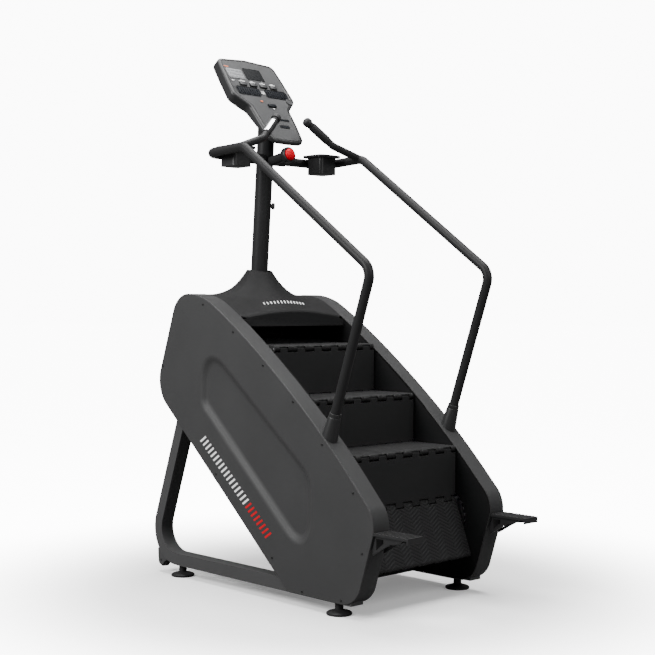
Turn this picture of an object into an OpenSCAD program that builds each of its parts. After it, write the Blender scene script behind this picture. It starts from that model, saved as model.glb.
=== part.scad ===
// Stair climber: an endless flight of hinged steps between two side housings,
// with handrails, a leaning mast and a console. +Y is the way the user faces,
// +X is the user's right, +Z is up, and the floor is at z = 0.
// Profiles of the sides are drawn as [y, z] and extruded along X.

/* [Overall] */
// Overall width across the two side housings
body_w = 740; // [600:1:900]
// Thickness of one side housing
side_w = 83; // [78:1:120]
// Height of the underside of the floor rails
rail_z = 48; // [40:1:80]

/* [Steps] */
// Depth of one tread, hinge to nose
tread_d = 230; // [200:1:280]
// Height of one riser, nose to hinge
riser_h = 200; // [165:1:240]
// Thickness of a tread
tread_t = 16; // [14:1:22]
// Thickness of a riser
riser_t = 7; // [5:1:12]
// Gap between a step's end and the side panel
step_gap = 7; // [4:1:15]
// Diameter of the steps' axles
axle_d = 12; // [8:0.5:14]

/* [Drive] */
// Pitch of the roller chain
chain_pitch = 25.4; // [19.05:0.05:25.4]
// Teeth on each chain sprocket
sprocket_teeth = 27; // [24:1:32]
// Diameter of the two main shafts
shaft_d = 25; // [20:1:35]
// Diameter of the big belt pulley on the upper shaft
drive_pulley_d = 190; // [150:1:220]
// Diameter of the small belt pulley on the brake
brake_pulley_d = 50; // [40:1:60]

/* [Frame] */
// Depth of the frame tube, in the plane of the side
tube_h = 50; // [40:1:60]
// Wall of the frame tube
tube_wall = 3; // [2:0.5:4]
// Thickness of the bearing plates
plate_t = 6; // [4:1:8]
// Wall of the moulded covers
cover_wall = 4; // [3:0.5:5]
// Depth of the pressed recess in the covers
recess_depth = 15; // [5:1:20]
// Diameter of a levelling foot's pad
foot_d = 98; // [60:1:120]
// Diameter of a levelling foot's stem
stem_d = 16; // [10:1:20]
// Diameter of a transport wheel
wheel_d = 56; // [40:1:60]
// Diameter of a transport wheel's axle
wheel_axle_d = 10; // [8:1:12]

/* [Handrails] */
// Diameter of the handrail tube
rail_d = 38; // [30:1:46]
// Distance between the two handrails, centre to centre
rail_span = 670; // [640:1:690]
// Radius of the handrail bends
rail_bend_r = 62; // [55:1:80]

/* [Mast and console] */
// Diameter of the mast
mast_d = 74; // [60:1:90]
// Thickness of the console housing
console_t = 50; // [40:1:70]
// Half the width of the console at its widest
console_half_w = 172; // [150:1:200]
// Diameter of the emergency stop button
stop_d = 50; // [40:1:56]
// Width of a cup holder
cup_w = 94; // [88:1:100]
// Height of a cup holder
cup_h = 84; // [60:1:110]

/* [Hidden] */
$fn = 48;

// ---- named clearances ----
fit_gap = 0.05;        // radial running clearance of a shaft in its bore
seat_gap = 0.3;        // gap between pieces that only lie against each other
tiny = 0.01;
seam = 0.3;            // step in diameter where a straight tube enters a bend

// ---- sideways stations, all as distances from the middle ----
outer_x = body_w / 2;
inner_x = outer_x - side_w;
panel_t = 2.5;
step_half_w = inner_x - step_gap;
chain_in_x = inner_x + panel_t + 2;
chain_out_x = chain_in_x + 12;
chain_mid_x = (chain_in_x + chain_out_x) / 2;
plate_x = chain_out_x + 4;
bearing_x = plate_x + plate_t;
tube_out_x = outer_x - cover_wall - 0.5;
tube_in_x = chain_out_x + 0.5;
rail_x = rail_span / 2;
foot_x = outer_x - 35;
belt_x = bearing_x + 24;
belt_w = 12;

// ---- the loop of steps ----
steps = 8;
step_pitch = norm([tread_d, riser_h]);
incline = atan2(riser_h, tread_d);
sprocket_r = chain_pitch / (2 * sin(180 / sprocket_teeth));
run_len = (steps * step_pitch - 2 * PI * sprocket_r) / 2;
up_run = [cos(incline), sin(incline)];
inward = [sin(incline), -cos(incline)];
bottom = [-317.65, 293.5];
top = bottom + run_len * up_run;
front_start = bottom - sprocket_r * inward;
return_start = top + sprocket_r * inward;

// Hinge point k of the chain: 1 to 4 lie along the front run, 0 and 5 to 7 along the return run
function hinge(k) = k >= 1 && k <= 4 ? front_start + (4 - k) * step_pitch * up_run
  : return_start - (k == 0 ? 0 : 8 - k) * step_pitch * up_run;

// The nose between hinge k and the next one, where the tread and the riser meet
function meet(a, b, ra, rb) =
  let(d = norm(b - a), along = (ra * ra - rb * rb + d * d) / (2 * d), u = (b - a) / d)
  a + along * u + sqrt(max(0, ra * ra - along * along)) * [u[1], -u[0]];
function nose(k) = meet(hinge(k), hinge((k + 1) % steps), tread_d, riser_h);
function heading(a, b) = atan2(b[1] - a[1], b[0] - a[0]);

// ---- outlines made from [a, b, radius] corners, listed counter-clockwise ----
function unit(v) = v / norm(v);
function xy(p) = [p[0], p[1]];
function cross2(a, b) = a[0] * b[1] - a[1] * b[0];
function corner_arc(p, q, n, r) =
  let(a = unit(p - q), b = unit(n - q), half = acos(a * b) / 2, turn = cross2(q - p, n - q) > 0 ? 1 : -1,
      centre = q + unit(a + b) * r / sin(half), from = q + a * r / tan(half) - centre,
      start = atan2(from[1], from[0]), sweep = turn * (180 - 2 * half), m = ceil(abs(sweep) / (r > 900 ? 2 : 6)))
  [for (i = [0:m]) centre + r * [cos(start + sweep * i / m), sin(start + sweep * i / m)]];
function outline(c) = let(n = len(c)) [for (i = [0:n - 1])
  each c[i][2] <= 0 ? [xy(c[i])]
    : corner_arc(xy(c[(i + n - 1) % n]), xy(c[i]), xy(c[(i + 1) % n]), c[i][2])];
function inset(c, d) = let(n = len(c)) [for (i = [0:n - 1])
  let(p = xy(c[(i + n - 1) % n]), q = xy(c[i]), s = xy(c[(i + 1) % n]), e = unit(q - p), g = unit(s - q),
      m = [-e[1] - g[1], e[0] + g[0]], r = c[i][2], turn = cross2(e, g) > 0 ? 1 : -1)
  [each q + d * m / (1 + e * g), r <= 0 ? 0 : max(0.5, r - turn * d)]];
// Height of an outline's upper edge at a given y
function edge_z(pts, y) = max([for (i = [0:len(pts) - 1]) let(a = pts[i], b = pts[(i + 1) % len(pts)])
  if ((a[0] - y) * (b[0] - y) <= 0 && a[0] != b[0]) a[1] + (b[1] - a[1]) * (y - a[0]) / (b[0] - a[0])]);

// Side housing: front rim a shallow arc, rear parallel to the leg, underside parallel to the steps
leg_dir = [-0.334, 0.9426];
housing_top = top + [162, 328.5];
housing_rear = top + [389, -80.5];
housing_foot = housing_rear + up_run * (rail_z - housing_rear[1]) / up_run[1];
housing = [
  [each housing_foot, 40],
  [each housing_rear, 130],
  [each housing_rear + leg_dir * (housing_top[1] - housing_rear[1]) / leg_dir[1], 100],
  [each housing_top + [-81, 0], 300],
  [each (bottom + top) / 2 + [-121, 307], 3500],
  [each bottom + [-276, 83.5], 110],
  [bottom[0] - 171, rail_z, 100]
];
rim = outline(housing);
recess = [
  [each bottom + [73, -141], 90], [each top + [78, -130], 65],
  [each top + [78, 155], 95], [each bottom + [73, 215], 110]
];

// Frame tube: floor rail, rear bend and leg; the leg enters the housing 186 mm ahead of its rear corner
leg_foot = [housing_rear[0] - 186 - (housing_rear[1] - rail_z) * leg_dir[0] / leg_dir[1], rail_z];
leg_len = 900 / leg_dir[1];
frame_path = [
  [bottom[0] - 145, rail_z, 0],
  [each leg_foot, 150],
  [each leg_foot + leg_dir * leg_len, 0],
  [each leg_foot + leg_dir * leg_len - tube_h * [leg_dir[1], -leg_dir[0]], 0],
  [each leg_foot + [-tube_h * (1 - leg_dir[0]) / leg_dir[1], tube_h], 100],
  [bottom[0] - 145, rail_z + tube_h, 0]
];
leg_cut_z = top[1] - 40;

foot_front_y = bottom[0] - 50;
foot_rear_y = leg_foot[0] - 222;
wheel_pos = leg_foot + [-94, 4];

// Handrail stations, [x, y, z] on the right side
rail_bend_low = [rail_x, bottom[0] - 211, bottom[1] + 987.5];
post_dir = unit([0, -184, 533]);
rail_foot = rail_bend_low - post_dir * 760;
rail_corner = [rail_x, top[0] - 151, top[1] + 918.5];
rail_front = [rail_x, top[0] + 86, top[1] + 908];
mast_foot = [0, top[0] + 152, top[1] + 271.5];
mast_axis = unit([0, -0.0717, 0.9974]);
function mast_at(z) = mast_foot + mast_axis * (z - mast_foot[2]) / mast_axis[2];
rail_end = [mast_d / 2 + 24, rail_front[1], rail_front[2]];
grip_root = [rail_x, rail_corner[1] + 14, rail_corner[2] + 2];
grip_kink = [199, top[0] - 112, top[1] + 967];
grip_tip = [75, top[0] - 62, top[1] + 1074.5];

// Console face: its lower middle, the way up it, and its outward normal
face_o = [0, top[0] - 23, top[1] + 1008.5];
face_lean = 37.5;
console_edge = [
  [0, -50, 0], [94, -46, 44], [108, 60, 60], [113, 152, 34], [console_half_w + 5, 214, 34],
  [console_half_w - 2, 330, 120], [console_half_w - 12, 431, 32], [0, 446, 0]
];
console_corners = concat(console_edge, [for (i = [6:-1:1]) [-console_edge[i][0], each [console_edge[i][1],
  console_edge[i][2]]]]);

// ---- placing helpers ----
// Extrude a [y, z] shape along X, from x0 to x1
module along_x(x0, x1) {
  translate([x0, 0, 0]) rotate([90, 0, 90]) linear_extrude(x1 - x0) children();
}
module right_and_left() {
  children();
  mirror([1, 0, 0]) children();
}
module on_side(side) {
  mirror([side < 0 ? 1 : 0, 0, 0]) children();
}
// Put a shape drawn along local +Y at a [y, z] point, turned to a heading
module at_point(p, turn) {
  translate([0, p[0], p[1]]) rotate([turn, 0, 0]) children();
}
// A round bar along X
module bar_x(x0, x1, d) {
  translate([x0, 0, 0]) rotate([0, 90, 0]) cylinder(h = x1 - x0, d = d);
}
// Columns of an orthogonal frame at a point
module frame_at(o, ex, ey, ez) {
  multmatrix([[ex[0], ey[0], ez[0], o[0]], [ex[1], ey[1], ez[1], o[1]], [ex[2], ey[2], ez[2], o[2]], [0, 0, 0, 1]])
    children();
}
// A frame whose Z points along v
module aim(o, v) {
  ez = unit(v);
  ex = unit(cross(abs(ez[0]) < 0.9 ? [1, 0, 0] : [0, 0, 1], ez));
  frame_at(o, ex, cross(ez, ex), ez) children();
}
module on_console(depth = 0) {
  translate(face_o) rotate([90 - face_lean, 0, 0]) translate([0, 0, depth]) children();
}
// Round tube along points [x, y, z] with one bend radius; the straights run a hair thinner into the bends
module tube_path(pts, d, r) {
  lap = 0.6;
  n = len(pts);
  cut = [for (i = [0:n - 1]) i == 0 || i == n - 1 ? 0
    : r * tan(acos(unit(pts[i] - pts[i - 1]) * unit(pts[i + 1] - pts[i])) / 2)];
  for (i = [0:n - 2]) {
    dir = unit(pts[i + 1] - pts[i]);
    from = cut[i] - (i == 0 ? 0 : lap);
    to = norm(pts[i + 1] - pts[i]) - cut[i + 1] + (i == n - 2 ? 0 : lap);
    aim(pts[i] + dir * from, dir) cylinder(h = to - from, d = d - seam);
  }
  for (i = [1:n - 2]) {
    a = unit(pts[i] - pts[i - 1]);
    b = unit(pts[i + 1] - pts[i]);
    turn = acos(a * b);
    side = unit(b - (a * b) * a);
    frame_at(pts[i] - a * cut[i] + side * r, -side, a, cross(-side, a))
      rotate_extrude(angle = turn, $fn = 96) translate([r, 0]) circle(d = d);
  }
}

// ---- frame ----
module frame_outline(extra = 0) {
  polygon(outline(inset(frame_path, -extra)));
}
module below_cut(z) {
  translate([-2000, -200]) square([4000, z + 200]);
}
module stem_hole(y) {
  translate([foot_x, y, rail_z - 1]) cylinder(h = tube_h / 2, d = stem_d + 2 * fit_gap);
}
module wheel_fork() {
  for (x = [-19, 14]) along_x(foot_x + x, foot_x + x + 5) difference() {
    union() {
      translate(wheel_pos) circle(r = 20);
      polygon([wheel_pos + [20, 0], wheel_pos + [24, 50], wheel_pos + [-30, 60], wheel_pos + [-60, 18],
        wheel_pos + [-20, -6]]);
    }
    translate(wheel_pos) circle(d = wheel_axle_d + 2 * fit_gap);
  }
}
module frame(side) color("dimgray") on_side(side) difference() {
  union() {
    along_x(tube_in_x, tube_out_x) intersection() {
      frame_outline();
      below_cut(leg_cut_z);
    }
    wheel_fork();
  }
  along_x(tube_in_x + tube_wall, tube_out_x - tube_wall) intersection() {
    frame_outline(-tube_wall);
    below_cut(leg_cut_z - tube_wall);
  }
  stem_hole(foot_front_y);
  stem_hole(foot_rear_y);
}
module box_tube(y, z, depth, height, half_w) {
  difference() {
    translate([-half_w, y, z]) cube([2 * half_w, depth, height]);
    translate([-half_w - 1, y + tube_wall, z + tube_wall])
      cube([2 * half_w + 2, depth - 2 * tube_wall, height - 2 * tube_wall]);
  }
}
// Cross tubes: a low one between the floor rails, and a deep beam that carries the mast
low_tube_y = bottom[0] + 146;
low_tube = [40, 38];
mast_base_t = 8;
beam_y = top[0] + 116;
beam_z = mast_foot[2] - mast_base_t - tube_h;
module cross_members() color("dimgray") {
  box_tube(low_tube_y, rail_z + 1, low_tube[0], low_tube[1], tube_in_x);
  box_tube(beam_y, beam_z, 2 * (mast_foot[1] - beam_y), tube_h, plate_x);
}
// Bearing plate: from the floor rail past both shafts to the leg and the upper beam
plate_edge = [
  [bottom[0] - 110, rail_z + tube_h], [bottom[0] + 130, rail_z + tube_h], [bottom[0] + 170, rail_z + tube_h + 90],
  [top[0] + 40, top[1] - 170], [top[0] + 130, top[1] - 150],
  [top[0] + 140, leg_cut_z], [top[0] + 190, leg_cut_z + 60], [beam_y + 86, beam_z + 70],
  [beam_y - 10, beam_z + 70], [beam_y - 70, beam_z - 40], [top[0] - 90, top[1] + 90],
  [bottom[0] - 60, bottom[1] + 130], [bottom[0] - 110, bottom[1] + 60]
];
module bearing_plates() color("silver") right_and_left() {
  difference() {
    along_x(plate_x, plate_x + plate_t) difference() {
      polygon(plate_edge);
      frame_outline(tiny);
    }
    for (p = [bottom, top]) at_point(p, 0) bar_x(plate_x - 1, bearing_x + 1, shaft_d + 4);
    post_lug(rail_d + 0.4, 1);
  }
  difference() {
    post_lug(rail_d + 11, 0);
    post_lug(rail_d + 0.4, 1);
  }
}
// The ring that holds a handrail's lower end
module post_lug(d, past) {
  aim(rail_foot - post_dir * past, post_dir) cylinder(h = 40 + 2 * past, d = d);
}
module shaft_bearings() color("gainsboro") right_and_left() for (p = [bottom, top]) at_point(p, 0) difference() {
  union() {
    bar_x(bearing_x, bearing_x + 6, shaft_d * 3);
    bar_x(bearing_x, bearing_x + 16, shaft_d * 2);
  }
  bar_x(bearing_x - 1, bearing_x + 17, shaft_d + 2 * fit_gap);
  for (a = [45:90:315]) rotate([a, 0, 0]) translate([0, shaft_d * 1.25, 0]) bar_x(bearing_x - 1, bearing_x + 7, 7);
}
roller_d = chain_pitch * 0.625;
link_h = chain_pitch * 0.8;
// Tracks that the chain rollers run on, under both runs, each hung from a bearing plate by a flange
module guide_tracks() color("gray") right_and_left() for (run = [0, 1]) {
  start = run == 0 ? front_start : return_start;
  at_point(start, run == 0 ? incline : incline + 180) {
    y0 = 4.5 * chain_pitch;
    y1 = run_len - 4.5 * chain_pitch;
    z1 = -roller_d / 2 - seat_gap;
    translate([chain_mid_x - 2, y0, z1 - 14]) cube([4, y1 - y0, 14]);
    translate([chain_mid_x + 2, y0, z1 - 14]) cube([plate_x - chain_mid_x - 2, y1 - y0, 4]);
  }
}

// ---- housings ----
module loop_space(r) {
  for (p = [bottom, top]) translate(p) circle(r = r, $fn = 96);
  translate(bottom) rotate(incline) translate([0, seam - r]) square([run_len, 2 * (r - seam)]);
}
panel_clear = link_h / 2 + 12;
module inner_panel(side) color("black") on_side(side) along_x(inner_x, inner_x + panel_t) difference() {
  polygon(outline(inset(housing, cover_wall + seat_gap)));
  loop_space(sprocket_r + panel_clear);
  translate([low_tube_y - seat_gap, rail_z]) square([low_tube[0] + 2 * seat_gap, low_tube[1] + 1 + seat_gap]);
  translate([beam_y - seat_gap, beam_z - seat_gap])
    square([2 * (mast_foot[1] - beam_y + seat_gap), tube_h + 2 * seat_gap]);
}
module recess_cut() {
  inner = outline(inset(recess, recess_depth * 2.2));
  outer = outline(recess);
  n = len(inner);
  points = concat([for (p = outer) [outer_x + tiny, each p]], [for (p = inner) [outer_x - recess_depth, each p]]);
  polyhedron(points, concat([[for (i = [n - 1:-1:0]) i]], [[for (i = [0:n - 1]) n + i]],
    [for (i = [0:n - 1]) let(j = (i + 1) % n) [i, j, n + j, n + i]]));
}
module post_axis_hole(d) {
  aim(rail_foot, post_dir) cylinder(h = 400, d = d);
}
// Where the cover screws sit, as [y, z]
screw_at = [
  [top[0] + 65, top[1] + 283.5], [top[0] - 130, top[1] + 173.5], [top[0] - 314, top[1] + 46],
  [bottom[0] + 171, bottom[1] + 487.5], [bottom[0] + 9, bottom[1] + 336.5], [bottom[0] - 156, bottom[1] + 173.5],
  [bottom[0] - 203, bottom[1] - 42.5], [bottom[0] - 95, rail_z + 15], [bottom[0] + 117, rail_z + 15],
  [bottom[0] + 290, bottom[1] - 126.5], [top[0] - 23, top[1] - 407.5], [top[0] + 339, top[1] + 20.5]
];
screw_d = 5;
module outer_cover(side) color("dimgray") on_side(side) difference() {
  along_x(inner_x, outer_x) polygon(rim);
  difference() {
    along_x(inner_x - 1, outer_x - cover_wall) polygon(outline(inset(housing, cover_wall)));
    recess_backing();
  }
  recess_cut();
  along_x(inner_x - 1, tube_out_x + seat_gap) frame_outline(seat_gap);
  post_axis_hole(rail_d + 1);
  for (p = screw_at) at_point(p, 0) bar_x(outer_x - cover_wall - 1, outer_x + 1, screw_d + 0.4);
}
// The wall behind the recess
module recess_backing() {
  along_x(outer_x - cover_wall - recess_depth, outer_x) polygon(outline(inset(recess, -2)));
}
module cover_screws() color("black") right_and_left() for (p = screw_at) at_point(p, 0) {
  bar_x(outer_x, outer_x + 2.2, screw_d * 2);
  bar_x(outer_x - cover_wall, outer_x, screw_d);
}
module rear_cover() color("black") along_x(-inner_x + 0.5, inner_x - 0.5) difference() {
  polygon(outline(inset(housing, 2)));
  polygon(outline(inset(housing, 5)));
  translate([-2000, 0]) square([top[0] + 200 + 2000, 3000]);
  translate([-2000, -100]) square([4000, rail_z + tube_h + 110]);
}

// Shroud: follows the rims, crowned at its front lip, and flares up to the mast's collar
collar_r = mast_d / 2 + 18;
shroud_front = top[0] - 92;
shroud_back = top[0] + 198;
shroud_rings = 12;
shroud_spokes = 64;
collar_z = top[1] + 437;
function flare(r) = 108 * pow(max(0, 1 - (r - collar_r) / 215), 3.2);
function shroud_xy(t, a) =
  let(c = mast_at(collar_z)[1], w = inner_x - 0.5, dx = cos(a), dy = sin(a),
      reach = min(w / max(tiny, abs(dx)), (dy > 0 ? shroud_back - c : c - shroud_front) / max(tiny, abs(dy))),
      r = collar_r + (reach - collar_r) * t)
  [r * dx, c + r * dy, r];
function shroud_pt(t, a, down) =
  let(p = shroud_xy(t, a), side = 1 - pow(abs(p[0]) / inner_x, 2),
      lip = max(0, 1 - (p[1] - shroud_front) / 180))
  [p[0], p[1], edge_z(rim, p[1]) - 1 + flare(p[2]) + 30 * side * lip - down];
// Point i of ring j, on the outer skin (s = 0) or the inner one (s = 1)
function ring_id(s, j, i) = (s * (shroud_rings + 1) + j) * shroud_spokes + i % shroud_spokes;
module shroud_skin() {
  n = shroud_spokes;
  m = shroud_rings;
  pts = [for (down = [0, 4]) for (j = [0:m]) for (i = [0:n - 1])
    shroud_pt(pow(j / m, 1.3), (i + 0.5) * 360 / n, down)];
  faces = [
    for (j = [0:m - 1]) for (i = [0:n - 1])
      let(a = ring_id(0, j, i), b = ring_id(0, j, i + 1), c = ring_id(0, j + 1, i + 1), d = ring_id(0, j + 1, i),
          e = ring_id(1, j, i), f = ring_id(1, j, i + 1), g = ring_id(1, j + 1, i + 1), h = ring_id(1, j + 1, i))
      each [[a, b, c], [a, c, d], [e, g, f], [e, h, g]],
    for (i = [0:n - 1])
      let(a = ring_id(0, 0, i), b = ring_id(0, 0, i + 1), e = ring_id(1, 0, i), f = ring_id(1, 0, i + 1),
          c = ring_id(0, m, i), d = ring_id(0, m, i + 1), g = ring_id(1, m, i), h = ring_id(1, m, i + 1))
      each [[a, f, b], [a, e, f], [c, d, h], [c, h, g]]
  ];
  polyhedron(pts, faces);
}
module shroud_fascia_shape() {
  w = inner_x - 0.5;
  z0 = edge_z(rim, shroud_front);
  polygon([[-w, z0 - 32], [w, z0 - 32], for (i = [12:-1:-12]) let(x = w * i / 12)
    [x, z0 - 5 - tiny + 30 * (1 - pow(x / inner_x, 2))]]);
}
module shroud() color("dimgray") {
  shroud_skin();
  translate([0, shroud_front + 4, 0]) rotate([90, 0, 0]) linear_extrude(4) shroud_fascia_shape();
}

// ---- side steps to stand on when getting on ----
step_top_z = bottom[1] + 40;
step_out_y = bottom[0] - 428;
module side_step(side) color("black") on_side(side) {
  y1 = bottom[0] - 249;
  w = side_w - 1;
  along_x(inner_x + 0.5, inner_x + 0.5 + w) difference() {
    translate([step_out_y, step_top_z - 10]) square([y1 - step_out_y, 10]);
    polygon(outline(inset(housing, -seat_gap)));
  }
  for (i = [0:8]) translate([inner_x + 4, step_out_y + 12 + i * 17, step_top_z - tiny]) cube([w - 7, 7, 2]);
  translate([inner_x + 0.5, step_out_y, step_top_z - 22]) cube([w, 6, 12 + tiny]);
  for (x = [inner_x + 10, outer_x - 16]) along_x(x, x + 6) difference() {
    polygon([[step_out_y + 30, step_top_z - 9.9], [step_out_y + 62, step_top_z - 30], [step_out_y + 96, step_top_z - 34],
      [y1 + 2, step_top_z - 84], [y1 + 2, step_top_z - 9.9]]);
    polygon([[y1 - 52, step_top_z - 20], [y1 - 52, step_top_z - 34], [y1 - 16, step_top_z - 62],
      [y1 - 16, step_top_z - 20]]);
    polygon(outline(inset(housing, -seat_gap)));
  }
}

// ---- feet and wheels ----
module foot(side, y) color("black") on_side(side) translate([foot_x, y, 0]) rotate_extrude()
  polygon([[0, 0], [foot_d / 2 - 3, 0], [foot_d / 2, 3], [foot_d / 2, 8], [foot_d / 2 - 6, 12], [stem_d, 20],
    [stem_d, rail_z - 6], [stem_d / 2, rail_z - 6], [stem_d / 2, rail_z + 18], [0, rail_z + 18]]);
module wheel(side) color("black") on_side(side) translate([foot_x, 0, 0]) at_point(wheel_pos, 0) {
  rotate([0, 90, 0]) rotate_extrude() polygon([[0, -20], [wheel_axle_d / 2, -20], [wheel_axle_d / 2, -13],
    [wheel_d / 2 - 3, -13], [wheel_d / 2, -10], [wheel_d / 2, 10], [wheel_d / 2 - 3, 13], [wheel_axle_d / 2, 13],
    [wheel_axle_d / 2, 20], [0, 20]]);
}

// ---- steps ----
teeth = 6;
tooth_pitch = 2 * step_half_w / teeth;
tooth_gap = 3;
knuckle_r = axle_d / 2 + 6;
nose_rod_d = 8;
rod_eye_r = nose_rod_d / 2 + 3.5;
nose_skin = knuckle_r - rod_eye_r - 0.5;   // skin of the tread that runs on over the riser's eyes
function tooth_x(i) = -step_half_w + (i + 0.5) * tooth_pitch;
// A tread lies along local +Y from its hinge to its nose, with its underside towards +Z
module tread(k) color("black") at_point(hinge(k), heading(hinge(k), nose(k))) difference() {
  union() {
    along_x(-step_half_w, step_half_w) {
      translate([-2, -knuckle_r]) square([tread_d + 2, tread_t]);
      circle(r = knuckle_r);
      translate([tread_d, 0]) circle(r = knuckle_r);
      translate([tread_d - 12, -knuckle_r]) square([12, 2 * knuckle_r]);
    }
  }
  bar_x(-step_half_w - 1, step_half_w + 1, axle_d + 2 * fit_gap);
  translate([0, tread_d, 0]) bar_x(-step_half_w - 1, step_half_w + 1, nose_rod_d + 2 * fit_gap);
  for (i = [0:teeth - 1]) {
    translate([tooth_x(i) - tooth_pitch / 4, -knuckle_r - 8, -knuckle_r - 1])
      cube([tooth_pitch / 2, 2 * knuckle_r + 10, 2 * knuckle_r + 2]);
    translate([tooth_x(i) - tooth_pitch / 4, tread_d - knuckle_r - 3, nose_skin - knuckle_r])
      cube([tooth_pitch / 2, 2 * knuckle_r + 8, 2 * knuckle_r + 2]);
  }
}
// A riser hangs along local +Y from the nose; open hooks leave the axle free to draw inwards,
// and reach past it by hook_past
module riser(k, hooked, hook_past = 0) {
  len = norm(hinge((k + 1) % steps) - nose(k));
  w = tooth_pitch / 2 - 2 * tooth_gap;
  color("dimgray") at_point(nose(k), heading(nose(k), hinge((k + 1) % steps))) {
    difference() {
      union() {
        along_x(-step_half_w, step_half_w) translate([knuckle_r + 3, -knuckle_r]) square([len - 2 * knuckle_r - 6,
          riser_t]);
        for (i = [0:teeth - 1]) along_x(tooth_x(i) - w / 2, tooth_x(i) + w / 2) {
          circle(r = rod_eye_r);
          translate([0, -knuckle_r]) square([knuckle_r + 4, riser_t]);
          translate([len - knuckle_r - 4, -knuckle_r]) square([knuckle_r + 4 + hook_past, riser_t]);
          if (!hooked) translate([len, 0]) circle(r = knuckle_r);
        }
      }
      bar_x(-step_half_w - 1, step_half_w + 1, nose_rod_d + 2 * fit_gap);
      translate([0, len, 0]) bar_x(-step_half_w - 1, step_half_w + 1, axle_d + (hooked ? 1 : 2 * fit_gap));
    }
  }
}

module return_steps() for (k = [5:7]) {
  tread(k);
  riser(k, k == 7);
}

// ---- chain, axles, sprockets ----
bar_t = 2;
link_end = chain_pitch * 0.3;   // how far a side bar runs past its last axle
module side_bars() {
  for (x = [chain_in_x, chain_out_x - bar_t]) translate([x, 0, 0]) children();
}
module roller() {
  bar_x(chain_in_x + bar_t / 2, chain_out_x - bar_t / 2, roller_d);
}
// The chain is drawn in four stretches with an open link between them. A straight stretch starts
// after the axle at the tangent point and runs on past the far one to its own last axle.
links_a_step = round(step_pitch / chain_pitch);
module chain_run(start, turn) right_and_left() at_point(start, turn) {
  n = 3 * links_a_step;
  side_bars() translate([0, chain_pitch / 2, -link_h / 2])
    cube([bar_t, (n - 0.5) * chain_pitch + link_end, link_h]);
  for (i = [1:n]) translate([0, i * step_pitch / links_a_step, 0]) roller();
}
// A wrapped stretch turns with its sprocket, from the axle at its tangent point
tooth_a = 360 / sprocket_teeth;
module chain_wrap(centre, turn) right_and_left() at_point(centre, turn) {
  n = links_a_step - 2;
  past = link_end / sprocket_r * 180 / PI;
  side_bars() rotate([90, 0, 90]) rotate([0, 0, -past]) rotate_extrude(angle = n * tooth_a + 2 * past, $fn = 96)
    translate([sprocket_r - link_h / 2, 0]) square([link_h, bar_t]);
  for (i = [0:n]) rotate([i * tooth_a, 0, 0]) translate([0, sprocket_r, 0]) roller();
}
// An axle through hinge k, from chain to chain
module axle(k) {
  at_point(hinge(k), 0) bar_x(-chain_out_x - 1.5, chain_out_x + 1.5, axle_d);
}
module nose_rod(k) {
  at_point(nose(k), 0) bar_x(-step_half_w + 1, step_half_w - 1, nose_rod_d);
}
module front_chain() color("silver") {
  chain_run(front_start, incline);
  for (k = [1:3]) {
    axle(k);
    nose_rod(k);
  }
}
module return_chain() color("silver") {
  chain_run(return_start, incline + 180);
  for (k = [5:7]) {
    axle(k);
    nose_rod(k);
  }
}
module bottom_chain() color("silver") {
  chain_wrap(bottom, incline + 90);
  axle(4);
  nose_rod(4);
}
module top_chain() color("silver") {
  chain_wrap(top, incline - 90);
  axle(0);
  nose_rod(0);
}
module sprocket() {
  root_r = sprocket_r - roller_d / 2 - 0.6;
  tip_r = sprocket_r + 2;
  along_x(chain_mid_x - 2.5, chain_mid_x + 2.5) difference() {
    polygon([for (i = [0:sprocket_teeth - 1]) each [
      for (e = [[-0.22, root_r], [-0.05, tip_r], [0.05, tip_r], [0.22, root_r]])
        e[1] * [cos((i + e[0]) * tooth_a), sin((i + e[0]) * tooth_a)]]]);
    for (a = [0:60:300]) rotate(a) translate([sprocket_r * 0.6, 0]) circle(r = sprocket_r * 0.17);
  }
  bar_x(chain_in_x - 12, chain_mid_x - 2.5, shaft_d * 2);
}
// A shaft with its two sprockets; left_end is how far it reaches to the left
module shaft_set(centre, turn, left_end) at_point(centre, turn + tooth_a / 2) {
  bar_x(-left_end, bearing_x + 18, shaft_d);
  right_and_left() sprocket();
}
module bottom_shaft() color("silver") shaft_set(bottom, incline + 90, bearing_x + 18);
module top_shaft() color("silver") shaft_set(top, incline - 90, belt_x + belt_w);

// ---- brake, on the left side ----
brake = top + [-196, -150];
module drive_pulley() color("gray") mirror([1, 0, 0]) at_point(top, 0) difference() {
  bar_x(belt_x - belt_w / 2, belt_x + belt_w / 2, drive_pulley_d);
  bar_x(belt_x - belt_w, belt_x + belt_w, shaft_d);
  for (a = [0:60:300]) rotate([a, 0, 0]) translate([0, drive_pulley_d * 0.31, 0])
    bar_x(belt_x - belt_w, belt_x + belt_w, drive_pulley_d * 0.17);
}
function belt_shape(extra) =
  let(ra = drive_pulley_d / 2 + extra, rb = brake_pulley_d / 2 + extra, a = heading(top, brake),
      tilt = acos((ra - rb) / norm(brake - top)))
  [for (i = [0:30]) let(b = a + tilt + (360 - 2 * tilt) * i / 30) top + ra * [cos(b), sin(b)],
   for (i = [0:12]) let(b = a - tilt + 2 * tilt * i / 12) brake + rb * [cos(b), sin(b)]];
module drive_belt() color("black") mirror([1, 0, 0]) along_x(belt_x - 5, belt_x + 5) difference() {
  polygon(belt_shape(4));
  polygon(belt_shape(seat_gap));
}
rotor_d = 180;
module brake_stator() color("darkred") mirror([1, 0, 0]) at_point(brake, 0) difference() {
  union() {
    bar_x(bearing_x, bearing_x + 5, rotor_d * 0.55);
    for (a = [30, 150, 270]) rotate([a, 0, 0]) translate([bearing_x, 18, -12]) cube([6, rotor_d / 2 + 6, 24]);
    bar_x(bearing_x, bearing_x + 8, 40);
  }
  bar_x(bearing_x - 1, bearing_x + 9, 15 + 2 * fit_gap);
}
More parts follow.
